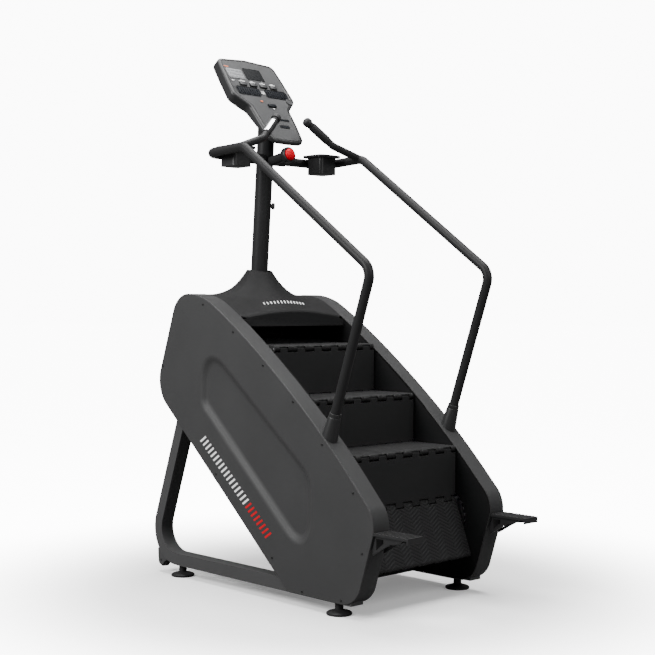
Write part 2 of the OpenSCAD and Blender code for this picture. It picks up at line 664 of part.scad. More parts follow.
module brake_rotor() color("gray") mirror([1, 0, 0]) at_point(brake, 0) {
  bar_x(bearing_x + 1, belt_x + belt_w / 2 + 2, 15);
  bar_x(bearing_x + 9, bearing_x + 16, rotor_d);
  bar_x(bearing_x + 16, belt_x + belt_w / 2, brake_pulley_d);
}

// ---- mast, stop button, console ----
console_back = 0.3 + console_t;
module mast_cut() {
  on_console(-console_back) translate([-300, -200, 0]) cube([600, 900, 400]);
}
module mast() color("dimgray") {
  difference() {
    union() {
      aim(mast_foot, mast_axis) cylinder(h = 900, d = mast_d);
      right_and_left() translate([0, rail_end[1], rail_end[2]]) bar_x(mast_d / 2 - 8, rail_end[0] + 30, rail_d + 8);
      translate([-65, mast_foot[1] - 34, mast_foot[2] - mast_base_t]) cube([130, 68, mast_base_t + tiny]);
      aim(mast_at(stop_z), stop_dir) cylinder(h = stop_reach, d = 42);
    }
    aim(mast_foot - mast_axis * 20, mast_axis) cylinder(h = 960, d = mast_d - 2 * tube_wall);
    mast_cut();
    right_and_left() translate([0, rail_end[1], rail_end[2]]) bar_x(rail_end[0], rail_end[0] + 31, rail_d + 0.4);
  }
  on_console(-console_back - 6) linear_extrude(6) difference() {
    translate([-70, 20]) square([140, 150]);
    translate([0, 95]) circle(d = 30);
  }
}
stop_z = top[1] + 892;
stop_dir = unit([0, -0.985, 0.17]);
stop_reach = 128;
stop_o = mast_at(stop_z) + stop_dir * (stop_reach + seat_gap);
cup_d = stop_d + 18;
module stop_housing() color("black") aim(stop_o, stop_dir) rotate_extrude()
  polygon([[0, 0], [21, 0], [cup_d / 2, 14], [cup_d / 2, 34], [cup_d / 2 - 3, 37], [stop_d / 2 + 1.5, 37],
    [stop_d / 2 + 1.5, 24], [0, 24]]);
module stop_button() color("red") aim(stop_o + stop_dir * 31, stop_dir) rotate_extrude()
  polygon([[0, 0], [stop_d / 2, 0], [stop_d / 2, 8], for (a = [0:9:90]) [stop_d / 2 * cos(a), 8 + 11 * sin(a)]]);

face_t = 4;
pocket = [[-136, 221], [24, 221]];
pocket_size = [112, 46];
key_w = 38;
key_h = 17;
key_y = 284;
function key_x(i) = -85 + (i - 1) * 57;
key_gap = 0.5;
screen = [[-44, 318], [100, 68]];
start_at = [18, 168];
start_size = [44, 16];
module key_hole(at, size) {
  translate([at[0] - size[0] / 2 - key_gap, at[1] - size[1] / 2 - key_gap]) square(size + 2 * key_gap * [1, 1]);
}
module console_housing() color("dimgray") {
  difference() {
    on_console(-console_t) linear_extrude(console_t) polygon(outline(console_corners));
    on_console(-face_t - seat_gap) linear_extrude(console_t) polygon(outline(inset(console_corners, 7)));
    on_console(-console_t + 4) linear_extrude(console_t) polygon(outline(inset(console_corners, 11)));
    console_taper(0);
  }
  intersection() {
    on_console(-console_t) linear_extrude(console_t - face_t - 1) polygon(outline(inset(console_corners, 1)));
    difference() {
      console_taper(4);
      console_taper(0);
    }
  }
}
// The back of the console slopes forward towards its lower lip
module console_taper(extra) {
  on_console() rotate([90, 0, 90]) translate([0, 0, -400]) linear_extrude(800)
    polygon([[170, -console_t + extra], [-60, -18 + extra], [-60, -console_t - 60], [170, -console_t - 60]]);
}
module console_face() color("gray") on_console(-face_t) difference() {
  linear_extrude(face_t) polygon(outline(inset(console_corners, 7 + seat_gap)));
  for (p = pocket) translate([p[0], p[1], 1]) cube([each pocket_size, face_t]);
  translate([screen[0][0], screen[0][1], 1.5]) cube([each screen[1], face_t]);
  translate([0, 0, -1]) linear_extrude(face_t + 2) {
    for (i = [1:4]) key_hole([key_x(i), key_y], [key_w, key_h]);
    key_hole(start_at, start_size);
  }
}
module console_screen() color("black") on_console(-face_t + 1.5)
  translate([screen[0][0] + 0.3, screen[0][1] + 0.3, 0]) cube([screen[1][0] - 0.6, screen[1][1] - 0.6, 2]);
module push_key(at, size) {
  on_console(-face_t - 1) translate([at[0] - size[0] / 2, at[1] - size[1] / 2, 0]) cube([each size, face_t + 3.5]);
}

// ---- handrails ----
grip_dir = unit(grip_tip - grip_kink);
grip_len = norm(grip_tip - grip_kink);
module handrail(side) color("dimgray") on_side(side) {
  tube_path([rail_foot, rail_bend_low, rail_corner, rail_front, rail_end], rail_d, rail_bend_r);
  tube_path([grip_root, grip_kink, grip_kink + grip_dir * (grip_len - 30)], rail_d - 6, 40);
}
module rail_sockets() color("dimgray") right_and_left() difference() {
  aim(rail_foot, post_dir) translate([0, 0, 60]) cylinder(h = socket_top - 60, d1 = rail_d + 34, d2 = rail_d + 8);
  along_x(0, outer_x + 60) polygon(outline(inset(housing, -tiny)));
  post_axis_hole(rail_d + 0.6);
}
socket_top = 196;
module pulse_grips() color("silver") right_and_left() difference() {
  aim(grip_kink + grip_dir * 34, grip_dir) cylinder(h = grip_len - 80, d = rail_d - 1);
  aim(grip_kink + grip_dir * 33, grip_dir) cylinder(h = grip_len - 78, d = rail_d - 6 + 0.2);
}
module grip_caps() color("black") right_and_left() aim(grip_kink + grip_dir * (grip_len - 30), grip_dir)
  rotate_extrude() polygon([[0, seat_gap], [rail_d / 2 + 1, seat_gap], [rail_d / 2 + 1, 14],
    for (a = [0:15:90]) [(rail_d / 2 + 1) * cos(a), 14 + 16 * sin(a)]]);

// ---- cup holders ----
cup_pos = [244, top[0] + 7, rail_front[2] + rail_d / 2 + 1];
module rounded_box(size, r, h) {
  c = [[-size / 2, -size / 2, r], [size / 2, -size / 2, r], [size / 2, size / 2, r], [-size / 2, size / 2, r]];
  linear_extrude(h) polygon(outline(c));
}
module cup_holder(side) color("black") on_side(side) translate(cup_pos) difference() {
  union() {
    translate([0, 0, 10 - cup_h]) rounded_box(cup_w, 14, cup_h - 1);
    rounded_box(cup_w + 36, 26, 10);
  }
  translate([0, 0, 14 - cup_h]) cylinder(h = cup_h, d = cup_w - 12);
}

frame(-1);  // frame_left
frame(1);  // frame_right
cross_members();
bearing_plates();
shaft_bearings();
guide_tracks();
inner_panel(-1);  // inner_panel_left
inner_panel(1);  // inner_panel_right
outer_cover(-1);  // outer_cover_left
outer_cover(1);  // outer_cover_right
cover_screws();
rear_cover();
shroud();
side_step(-1);  // side_step_left
side_step(1);  // side_step_right
mast();
console_housing();
console_face();
console_screen();
color("gray") push_key([key_x(1), key_y], [key_w, key_h]);  // key_1
color("gray") push_key([key_x(2), key_y], [key_w, key_h]);  // key_2
color("gray") push_key([key_x(3), key_y], [key_w, key_h]);  // key_3
color("gray") push_key([key_x(4), key_y], [key_w, key_h]);  // key_4
color("black") push_key(start_at, start_size);  // start_key
stop_housing();
stop_button();
handrail(-1);  // handrail_left
handrail(1);  // handrail_right
rail_sockets();
pulse_grips();
grip_caps();
cup_holder(-1);  // cup_holder_left
cup_holder(1);  // cup_holder_right
foot(-1, foot_front_y);  // foot_front_left
foot(1, foot_front_y);  // foot_front_right
foot(-1, foot_rear_y);  // foot_rear_left
foot(1, foot_rear_y);  // foot_rear_right
wheel(-1);  // wheel_left
wheel(1);  // wheel_right
tread(1);  // tread_1
tread(2);  // tread_2
tread(3);  // tread_3
riser(1, false);  // riser_1
riser(2, false);  // riser_2
riser(3, true, 6);  // riser_3
front_chain();
return_steps();
return_chain();
tread(4);  // tread_4
riser(4, true);  // riser_4
bottom_chain();
bottom_shaft();
tread(0);  // tread_0
riser(0, true);  // riser_0
top_chain();
top_shaft();
drive_pulley();
drive_belt();
brake_stator();
brake_rotor();
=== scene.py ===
# %% [markdown]
# # A stair climber, dressed for its picture
# A stair climber is a short endless staircase between two pressed steel housings, with
# handrails to hold, a leaning mast and a console. The measured frame is loaded first and
# stays fixed. Every piece made here lies on it, in metres: +Y is the way the user faces,
# +X is the user's right and +Z is up.

# %% Load the measured frame
import bpy
import bmesh
import math
from mathutils import Matrix, Vector
from mathutils.bvhtree import BVHTree


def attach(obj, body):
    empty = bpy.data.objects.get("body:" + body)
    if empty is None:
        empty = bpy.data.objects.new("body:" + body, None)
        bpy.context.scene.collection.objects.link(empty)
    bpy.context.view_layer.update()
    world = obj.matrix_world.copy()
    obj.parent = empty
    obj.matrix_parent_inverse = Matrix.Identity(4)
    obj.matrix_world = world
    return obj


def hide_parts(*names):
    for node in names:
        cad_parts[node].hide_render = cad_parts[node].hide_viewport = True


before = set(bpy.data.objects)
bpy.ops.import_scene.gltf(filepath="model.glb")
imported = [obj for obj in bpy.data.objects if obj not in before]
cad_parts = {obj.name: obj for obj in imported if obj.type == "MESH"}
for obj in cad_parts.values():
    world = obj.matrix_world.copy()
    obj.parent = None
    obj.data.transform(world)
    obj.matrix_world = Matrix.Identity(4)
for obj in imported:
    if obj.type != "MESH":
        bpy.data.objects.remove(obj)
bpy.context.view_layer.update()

# %% [markdown]
# ## Camera
# A long lens stands low, a little over a metre up, ahead of the machine's left front
# corner. Blender wants the camera's own axes: right, up, and back towards the viewer. They
# are built from a compass angle, a slight downward tilt and a trace of roll.

# %% Place the camera
CAMERA_AT = Vector((-3.7397, -3.87565, 1.1522))
AZIMUTH, TILT, ROLL = (math.radians(a) for a in (-43.591, 0.988, 0.200))
back = Vector((math.sin(AZIMUTH) * math.cos(TILT), -math.cos(AZIMUTH) * math.cos(TILT), math.sin(TILT)))
level = Vector((0, 0, 1)).cross(back).normalized()
rise = back.cross(level)
right = level * math.cos(ROLL) + rise * math.sin(ROLL)
up = rise * math.cos(ROLL) - level * math.sin(ROLL)
camera_data = bpy.data.cameras.new("camera")
camera_data.lens = 72.44
camera_data.sensor_width = 36.0
camera = bpy.data.objects.new("camera", camera_data)
camera.matrix_world = Matrix.Translation(CAMERA_AT) @ Matrix((right, up, back)).transposed().to_4x4()
bpy.context.scene.collection.objects.link(camera)
bpy.context.scene.camera = camera
print("camera distance", round(CAMERA_AT.length, 2), "m")

# %% [markdown]
# ## Stations
# The chain runs round two shafts, and most of the machine is set out from their centres.
# Side profiles are lists of (y, z, corner radius), so the rounded outline of a housing is
# stated in eight lines, just as a sheet-metal drawing would give it.

# %% Shafts, slope and widths
BOTTOM = Vector((-0.31765, 0.2935))
TOP = Vector((0.34301, 0.86799))
UP_RUN = (TOP - BOTTOM).normalized()
LEG = Vector((-0.334, 0.9426))
OUTER_X, INNER_X, RAIL_Z = 0.370, 0.287, 0.048
print("slope", round(math.degrees(math.atan2(UP_RUN.y, UP_RUN.x)), 1), "degrees")

# %% Housing and recess corners
rear = TOP + Vector((0.389, -0.0805))
foot = rear + UP_RUN * ((RAIL_Z - rear.y) / UP_RUN.y)
crest = rear + LEG * ((TOP.y + 0.3285 - rear.y) / LEG.y)
middle = (BOTTOM + TOP) / 2 + Vector((-0.121, 0.307))
HOUSING = [
    (*foot, 0.040), (*rear, 0.130), (*crest, 0.100), (TOP.x + 0.081, TOP.y + 0.3285, 0.300),
    (*middle, 3.5), (BOTTOM.x - 0.276, BOTTOM.y + 0.0835, 0.110), (BOTTOM.x - 0.171, RAIL_Z, 0.100),
]
RECESS = [
    (BOTTOM.x + 0.073, BOTTOM.y - 0.141, 0.090), (TOP.x + 0.078, TOP.y - 0.130, 0.065),
    (TOP.x + 0.078, TOP.y + 0.155, 0.095), (BOTTOM.x + 0.073, BOTTOM.y + 0.215, 0.110),
]
print("housing corners", len(HOUSING))

# %% [markdown]
# ## Shared effects
# Powder coat, moulded plastic and rubber all need the same few touches: a fine grain that
# breaks up the highlight, a faint unevenness of colour, and dust that settles on what faces
# up. Each touch is a node group, built once, and every finish sets its own amounts. The
# Principled shader stays in the material, so the groups only hand out masks and heights.

# %% Node group helper
def effect(name, inputs, outputs):
    """An empty shader node group with number sockets, and its two end nodes."""
    group = bpy.data.node_groups.new(name, "ShaderNodeTree")
    for socket, value in inputs:
        kind = "NodeSocketVector" if value is None else "NodeSocketFloat"
        made = group.interface.new_socket(name=socket, in_out="INPUT", socket_type=kind)
        if value is not None:
            made.default_value = value
    for socket in outputs:
        group.interface.new_socket(name=socket, in_out="OUTPUT", socket_type="NodeSocketFloat")
    return group, group.nodes.new("NodeGroupInput"), group.nodes.new("NodeGroupOutput")


def maths(tree, operation, *values):
    """A Math node fed with sockets or plain numbers; gives its output."""
    node = tree.nodes.new("ShaderNodeMath")
    node.operation = operation
    for socket, value in zip(node.inputs, values):
        if isinstance(value, (int, float)):
            socket.default_value = value
        else:
            tree.links.new(value, socket)
    return node.outputs[0]


def noise(tree, vector, scale, detail=3.0):
    node = tree.nodes.new("ShaderNodeTexNoise")
    node.inputs["Detail"].default_value = detail
    tree.links.new(vector, node.inputs["Vector"])
    if isinstance(scale, (int, float)):
        node.inputs["Scale"].default_value = scale
    else:
        tree.links.new(scale, node.inputs["Scale"])
    return node.outputs["Fac"]

# %% Grain: a fine height and a slow unevenness
grain_group, ins, outs = effect(
    "surface_grain", [("Vector", None), ("Grain scale", 900.0), ("Patch scale", 6.0)], ["Height", "Patches"])
fine = noise(grain_group, ins.outputs["Vector"], ins.outputs["Grain scale"], 2.0)
slow = noise(grain_group, ins.outputs["Vector"], ins.outputs["Patch scale"], 4.0)
grain_group.links.new(fine, outs.inputs["Height"])
grain_group.links.new(slow, outs.inputs["Patches"])
print("group", grain_group.name)

# %% Dust: settles on faces that look up, thickest in soft patches
dust_group, ins, outs = effect("settled_dust", [("Vector", None), ("Amount", 0.3)], ["Mask"])
facing = dust_group.nodes.new("ShaderNodeNewGeometry")
parts = dust_group.nodes.new("ShaderNodeSeparateXYZ")
dust_group.links.new(facing.outputs["Normal"], parts.inputs[0])
level_part = maths(dust_group, "POWER", maths(dust_group, "MAXIMUM", parts.outputs["Z"], 0.0), 3.0)
patchy = maths(dust_group, "MULTIPLY", level_part, noise(dust_group, ins.outputs["Vector"], 22.0, 6.0))
dust_group.links.new(maths(dust_group, "MULTIPLY", patchy, ins.outputs["Amount"]), outs.inputs["Mask"])
print("group", dust_group.name)

# %% Scuffs: short pale marks where hands and shoes rub
scuff_group, ins, outs = effect("rub_marks", [("Vector", None), ("Amount", 0.3), ("Size", 14.0)], ["Mask"])
broad = noise(scuff_group, ins.outputs["Vector"], ins.outputs["Size"], 3.0)
streak = scuff_group.nodes.new("ShaderNodeMapping")
streak.inputs["Scale"].default_value = (9.0, 1.6, 2.2)
scuff_group.links.new(ins.outputs["Vector"], streak.inputs["Vector"])
thin = noise(scuff_group, streak.outputs[0], 18.0, 8.0)
both = maths(scuff_group, "MULTIPLY", maths(scuff_group, "GREATER_THAN", broad, 0.58),
             maths(scuff_group, "SUBTRACT", thin, 0.45))
masked = maths(scuff_group, "MULTIPLY", maths(scuff_group, "MAXIMUM", both, 0.0), ins.outputs["Amount"])
scuff_group.links.new(masked, outs.inputs["Mask"])
print("group", scuff_group.name)

# %% Anti-slip ribs: zigzag ridges that run across a tread
rib_group, ins, outs = effect(
    "zigzag_ribs", [("Across", 0.0), ("Along", 0.0), ("Pitch", 0.015), ("Zigzag", 0.050)], ["Height"])
cell = maths(rib_group, "PINGPONG", ins.outputs["Across"], ins.outputs["Zigzag"])
bent = maths(rib_group, "ADD", ins.outputs["Along"], maths(rib_group, "MULTIPLY", cell, 0.55))
wave = maths(rib_group, "PINGPONG", bent, maths(rib_group, "MULTIPLY", ins.outputs["Pitch"], 0.5))
ridge = maths(rib_group, "DIVIDE", wave, maths(rib_group, "MULTIPLY", ins.outputs["Pitch"], 0.5))
rib_group.links.new(maths(rib_group, "SMOOTH_MIN", maths(rib_group, "MULTIPLY", ridge, 1.6), 1.0, 0.3),
                    outs.inputs["Height"])
print("group", rib_group.name)

# %% [markdown]
# ## Finishes
# One function lays down any finish, because powder coat, plastic, rubber and metal differ
# only in numbers: colour, gloss, how coarse the grain is and how much dust it carries. The
# constant values are typed straight into the shader's own sockets.

# %% The finish maker
def finish(name, colour, gloss_range, grain=0.15, grain_scale=1400.0, patches=0.10, dust=0.0, scuffs=0.0,
           metallic=0.0, coat=0.0, specular=0.5, bump_distance=0.0004):
    material = bpy.data.materials.new(name)
    material.use_nodes = True
    tree = material.node_tree
    shader = tree.nodes["Principled BSDF"]
    shader.inputs["Metallic"].default_value = metallic
    shader.inputs["Coat Weight"].default_value = coat
    shader.inputs["Specular IOR Level"].default_value = specular
    place = tree.nodes.new("ShaderNodeTexCoord").outputs["Object"]
    grains = tree.nodes.new("ShaderNodeGroup")
    grains.node_tree = grain_group
    grains.inputs["Grain scale"].default_value = grain_scale
    tree.links.new(place, grains.inputs["Vector"])
    colours = tree.nodes.new("ShaderNodeMix")
    colours.data_type = "RGBA"
    colours.inputs[6].default_value = (*(c * (1 - patches) for c in colour), 1)
    colours.inputs[7].default_value = (*(min(1, c * (1 + patches)) for c in colour), 1)
    tree.links.new(grains.outputs["Patches"], colours.inputs[0])
    colour_out = colours.outputs[2]
    for group, amount, tint in ((dust_group, dust, (0.30, 0.29, 0.27)), (scuff_group, scuffs, (0.24, 0.24, 0.24))):
        if amount:
            mark = tree.nodes.new("ShaderNodeGroup")
            mark.node_tree = group
            mark.inputs["Amount"].default_value = amount
            tree.links.new(place, mark.inputs["Vector"])
            blend = tree.nodes.new("ShaderNodeMix")
            blend.data_type = "RGBA"
            blend.inputs[7].default_value = (*tint, 1)
            tree.links.new(mark.outputs["Mask"], blend.inputs[0])
            tree.links.new(colour_out, blend.inputs[6])
            colour_out = blend.outputs[2]
    tree.links.new(colour_out, shader.inputs["Base Color"])
    gloss = tree.nodes.new("ShaderNodeMapRange")
    gloss.inputs["To Min"].default_value, gloss.inputs["To Max"].default_value = gloss_range
    tree.links.new(grains.outputs["Patches"], gloss.inputs["Value"])
    tree.links.new(gloss.outputs["Result"], shader.inputs["Roughness"])
    bump = tree.nodes.new("ShaderNodeBump")
    bump.inputs["Strength"].default_value = grain
    bump.inputs["Distance"].default_value = bump_distance
    tree.links.new(grains.outputs["Height"], bump.inputs["Height"])
    tree.links.new(bump.outputs["Normal"], shader.inputs["Normal"])
    return material

# %% Every plain finish on the machine
SHELL = finish("shell_powder_coat", (0.0330, 0.0331, 0.0335), (0.46, 0.56), grain=0.04, dust=0.01, scuffs=0.01,
               specular=0.14)
SHROUD = finish("shroud_black", (0.0130, 0.0130, 0.0133), (0.52, 0.62), grain=0.04, dust=0.01, specular=0.08)
PAINT = finish("frame_powder_coat", (0.0420, 0.0420, 0.0426), (0.42, 0.54), grain=0.04, dust=0.01, scuffs=0.01,
               specular=0.16)
PANEL = finish("side_panel_black", (0.0048, 0.0048, 0.0050), (0.50, 0.62), grain=0.04, scuffs=0.01, specular=0.12)
RAIL = finish("rail_satin_black", (0.0160, 0.0160, 0.0164), (0.36, 0.46), grain=0.015, grain_scale=1900.0,
              specular=0.08)
RISER = finish("riser_moulded_black", (0.0150, 0.0150, 0.0153), (0.44, 0.56), grain=0.06, grain_scale=1100.0,
               dust=0.01, scuffs=0.02, specular=0.14)
RUBBER = finish("grip_rubber", (0.0075, 0.0075, 0.0080), (0.55, 0.68), grain=0.12, grain_scale=1600.0,
                dust=0.02, specular=0.28)
MOULD = finish("moulded_black_plastic", (0.0140, 0.0140, 0.0145), (0.34, 0.46), grain=0.07, grain_scale=1300.0,
               dust=0.03, specular=0.30)
CONSOLE = finish("console_shell_plastic", (0.0120, 0.0122, 0.0127), (0.36, 0.46), grain=0.05, grain_scale=1500.0,
                 specular=0.30)
FACE = finish("console_face_grey", (0.0300, 0.0303, 0.0312), (0.42, 0.52), grain=0.04, patches=0.05, specular=0.25)
TRAY = finish("console_tray_black", (0.0022, 0.0032, 0.0052), (0.34, 0.44), grain=0.03, specular=0.08)
KEYPAD = finish("keypad_light_grey", (0.155, 0.158, 0.163), (0.40, 0.50), grain=0.04, patches=0.04, specular=0.30)
KEY = finish("key_dark_grey", (0.0120, 0.0125, 0.0135), (0.30, 0.42), grain=0.04, specular=0.30)
WHITE = finish("printed_white", (0.72, 0.72, 0.72), (0.45, 0.55), grain=0.02, patches=0.03)
RED = finish("printed_red", (0.46, 0.0000, 0.008), (0.42, 0.52), grain=0.02, patches=0.04, specular=0.08)
AMBER = finish("printed_amber", (0.50, 0.10, 0.02), (0.42, 0.52), grain=0.02, patches=0.04)
STOP_RED = finish("stop_button_red", (0.44, 0.0000, 0.009), (0.34, 0.42), grain=0.02, patches=0.03, specular=0.08)
STOP_BLACK = finish("stop_ring_black", (0.0080, 0.0080, 0.0085), (0.34, 0.46), grain=0.05, specular=0.30)
STEEL = finish("bare_steel", (0.42, 0.42, 0.43), (0.28, 0.42), grain=0.04, metallic=1.0, patches=0.12)
ZINC = finish("zinc_plate", (0.58, 0.57, 0.54), (0.30, 0.46), grain=0.04, metallic=1.0, patches=0.15)
CHROME = finish("pulse_grip_chrome", (0.88, 0.88, 0.89), (0.14, 0.22), grain=0.01, metallic=1.0, patches=0.03)
SCREW = finish("blackened_screw", (0.0060, 0.0060, 0.0062), (0.30, 0.44), grain=0.04, specular=0.4)
IRON = finish("flywheel_iron", (0.16, 0.16, 0.16), (0.36, 0.52), grain=0.10, grain_scale=700.0, metallic=0.8)
BRAKE = finish("brake_body_red", (0.30, 0.02, 0.02), (0.40, 0.52), grain=0.06)
BELT = finish("drive_belt_black", (0.0100, 0.0100, 0.0100), (0.60, 0.74), grain=0.12, specular=0.3)
SCREEN = finish("display_glass", (0.0060, 0.0066, 0.0072), (0.22, 0.28), grain=0.01, patches=0.03, specular=0.10)
print(len(bpy.data.materials), "finishes")

# %% [markdown]
# A tread's finish adds the anti-slip ribs. They must follow the tread, and the treads lie
# at different angles round the chain, so the distance along a tread is a dot product of
# the position with that tread's own direction.

# %% Tread finish, one for each direction
def tread_finish(name, along):
    material = finish(name, (0.0125, 0.0125, 0.0128), (0.44, 0.56), grain=0.06, grain_scale=1200.0, dust=0.01,
                      scuffs=0.03, specular=0.16)
    tree = material.node_tree
    shader = tree.nodes["Principled BSDF"]
    place = tree.nodes.new("ShaderNodeTexCoord").outputs["Object"]
    split = tree.nodes.new("ShaderNodeSeparateXYZ")
    tree.links.new(place, split.inputs[0])
    dot = tree.nodes.new("ShaderNodeVectorMath")
    dot.operation = "DOT_PRODUCT"
    dot.inputs[1].default_value = (0, along[0], along[1])
    tree.links.new(place, dot.inputs[0])
    ribs = tree.nodes.new("ShaderNodeGroup")
    ribs.node_tree = rib_group
    tree.links.new(split.outputs["X"], ribs.inputs["Across"])
    tree.links.new(dot.outputs["Value"], ribs.inputs["Along"])
    raised = tree.nodes.new("ShaderNodeBump")
    raised.inputs["Strength"].default_value = 0.9
    raised.inputs["Distance"].default_value = 0.0016
    tree.links.new(ribs.outputs["Height"], raised.inputs["Height"])
    grain_bump = shader.inputs["Normal"].links[0].from_node
    tree.links.new(raised.outputs["Normal"], grain_bump.inputs["Normal"])
    return material


# %% [markdown]
# ## Piece helpers
# Four small helpers make nearly everything. One turns a bmesh into a finished piece that
# rides on its body. One rounds the corners of a flat outline with a vertex bevel. One spins
# a profile, as a lathe does. One bends a tube from straight extrusions and part-turn spins.

# %% From bmesh to a riding piece
def to_piece(name, bm, material, body="frame", stands_for=(), smooth=32.0, turn_out=True):
    bmesh.ops.remove_doubles(bm, verts=bm.verts[:], dist=1e-5)
    if turn_out:
        bmesh.ops.recalc_face_normals(bm, faces=bm.faces[:])
    mesh = bpy.data.meshes.new(name)
    bm.to_mesh(mesh)
    bm.free()
    mesh.polygons.foreach_set("use_smooth", [True] * len(mesh.polygons))
    mesh.set_sharp_from_angle(angle=math.radians(smooth))
    mesh.materials.append(material)
    piece = bpy.data.objects.new(name, mesh)
    bpy.context.scene.collection.objects.link(piece)
    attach(piece, body)
    if stands_for:
        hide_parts(*stands_for)
    print(name, len(mesh.polygons), "faces")
    return piece


def ease_edges(piece, width, segments=2, angle=40.0):
    """Rounds the sharp edges of a piece and keeps its flats flat."""
    bevel = piece.modifiers.new("eased", "BEVEL")
    bevel.width = width
    bevel.segments = segments
    bevel.limit_method = "ANGLE"
    bevel.angle_limit = math.radians(angle)
    flat = piece.modifiers.new("flats", "WEIGHTED_NORMAL")
    flat.keep_sharp = True
    return piece

# %% Rounded outlines
def rounded_face(bm, corners, place=None):
    """A flat face with rounded corners, from (a, b, radius) corners; place maps (a, b) to 3-D."""
    place = place or (lambda a, b: Vector((0, a, b)))
    points = [Vector((a, b)) for a, b, _ in corners]
    already = set(bm.faces)
    verts = [bm.verts.new(place(*point)) for point in points]
    bm.faces.new(verts)
    for i, (vert, (_, _, radius)) in enumerate(zip(verts, corners)):
        if radius > 0:
            before, after = points[i - 1] - points[i], points[(i + 1) % len(points)] - points[i]
            half = before.angle(after) / 2
            arc = min(math.radians(7), 2 * math.acos(1 - min(0.5, 0.00025 / radius)))
            bmesh.ops.bevel(bm, geom=[vert], offset=radius / math.tan(half), offset_type="OFFSET",
                            segments=max(3, math.ceil((math.pi - 2 * half) / arc)), profile=0.5, affect="VERTICES",
                            material=-1)
    face = next(f for f in bm.faces if f not in already)
    face.normal_update()
    return face

# %% Turned pieces
def aim(origin, direction):
    """A matrix that stands local Z along a direction at a point."""
    return Matrix.Translation(Vector(origin)) @ Vector(direction).to_track_quat("Z", "Y").to_matrix().to_4x4()


def turned(profile, place, steps=48, bm=None):
    """A profile of (radius, height) spun round its axis, then placed."""
    bm = bm or bmesh.new()
    verts = [bm.verts.new((r, 0, h)) for r, h in profile]
    edges = [bm.edges.new(pair) for pair in zip(verts, verts[1:])]
    spun = bmesh.ops.spin(bm, geom=verts + edges, cent=(0, 0, 0), axis=(0, 0, 1), dvec=(0, 0, 0), angle=2 * math.pi,
                          steps=steps, use_merge=True, use_duplicate=False)
    made = {v for v in verts if v.is_valid}
    made |= {v for item in spun["geom_last"] if isinstance(item, bmesh.types.BMVert) for v in [item]}
    frontier = list(made)
    while frontier:
        for edge in frontier.pop().link_edges:
            for vert in edge.verts:
                if vert not in made:
                    made.add(vert)
                    frontier.append(vert)
    bmesh.ops.transform(bm, matrix=place, verts=list(made))
    return bm

# %% Bent tubes
def ring_of(out):
    verts = {g for g in out if isinstance(g, bmesh.types.BMVert)}
    edges = [g for g in out if isinstance(g, bmesh.types.BMEdge) and all(v in verts for v in g.verts)]
    return list(verts), edges


def bent_tube(bm, points, diameter, bend, sides=36):
    """A round tube along points: straights are extruded, and each bend is a part-turn spin."""
    points = [Vector(p) for p in points]
    circle = bmesh.ops.create_circle(bm, cap_ends=False, segments=sides, radius=diameter / 2,
                                     matrix=aim(points[0], points[1] - points[0]))
    verts = circle["verts"]
    edges = list({e for v in verts for e in v.link_edges})
    first, used = edges[:], 0.0
    for i in range(1, len(points)):
        along = (points[i] - points[i - 1]).normalized()
        cut = 0.0
        if i < len(points) - 1:
            after = (points[i + 1] - points[i]).normalized()
            angle = along.angle(after)
            cut = bend * math.tan(angle / 2)
        verts, edges = ring_of(bmesh.ops.extrude_edge_only(bm, edges=edges)["geom"])
        bmesh.ops.translate(bm, verts=verts, vec=along * ((points[i] - points[i - 1]).length - used - cut))
        if cut:
            side = (after - along * after.dot(along)).normalized()
            out = bmesh.ops.spin(bm, geom=verts + edges, cent=points[i] - along * cut + side * bend,
                                 axis=along.cross(side), dvec=(0, 0, 0), angle=angle,
                                 steps=max(5, round(math.degrees(angle) / 4)), use_merge=False, use_duplicate=False)
            verts, edges = ring_of(out["geom_last"])
        used = cut
    bmesh.ops.holes_fill(bm, edges=first + edges, sides=0)
    return bm


def swap_side(bm, side):
    """Mirrors a right-hand shape to the left where side is -1."""
    if side < 0:
        bmesh.ops.scale(bm, vec=(-1, 1, 1), verts=bm.verts[:])
    return bm


SIDES = ((-1, "left"), (1, "right"))

# %% [markdown]
# ## Pressed side covers
# Each side cover is one pressed sheet: a flat face with a long dished recess, folded round
# at the rim into an 83 mm wide border. A boolean could cut the recess, but an inset gives
# the slanted wall and the floor in one go, and a fill between two loops joins it to the
# flat. The rim is an extrusion, and Solidify gives the sheet its thickness at the end.

# %% Side covers
RECESS_SLOPE, RECESS_DEPTH = 0.026, 0.017


def on_outside(a, b):
    return Vector((OUTER_X, a, b))


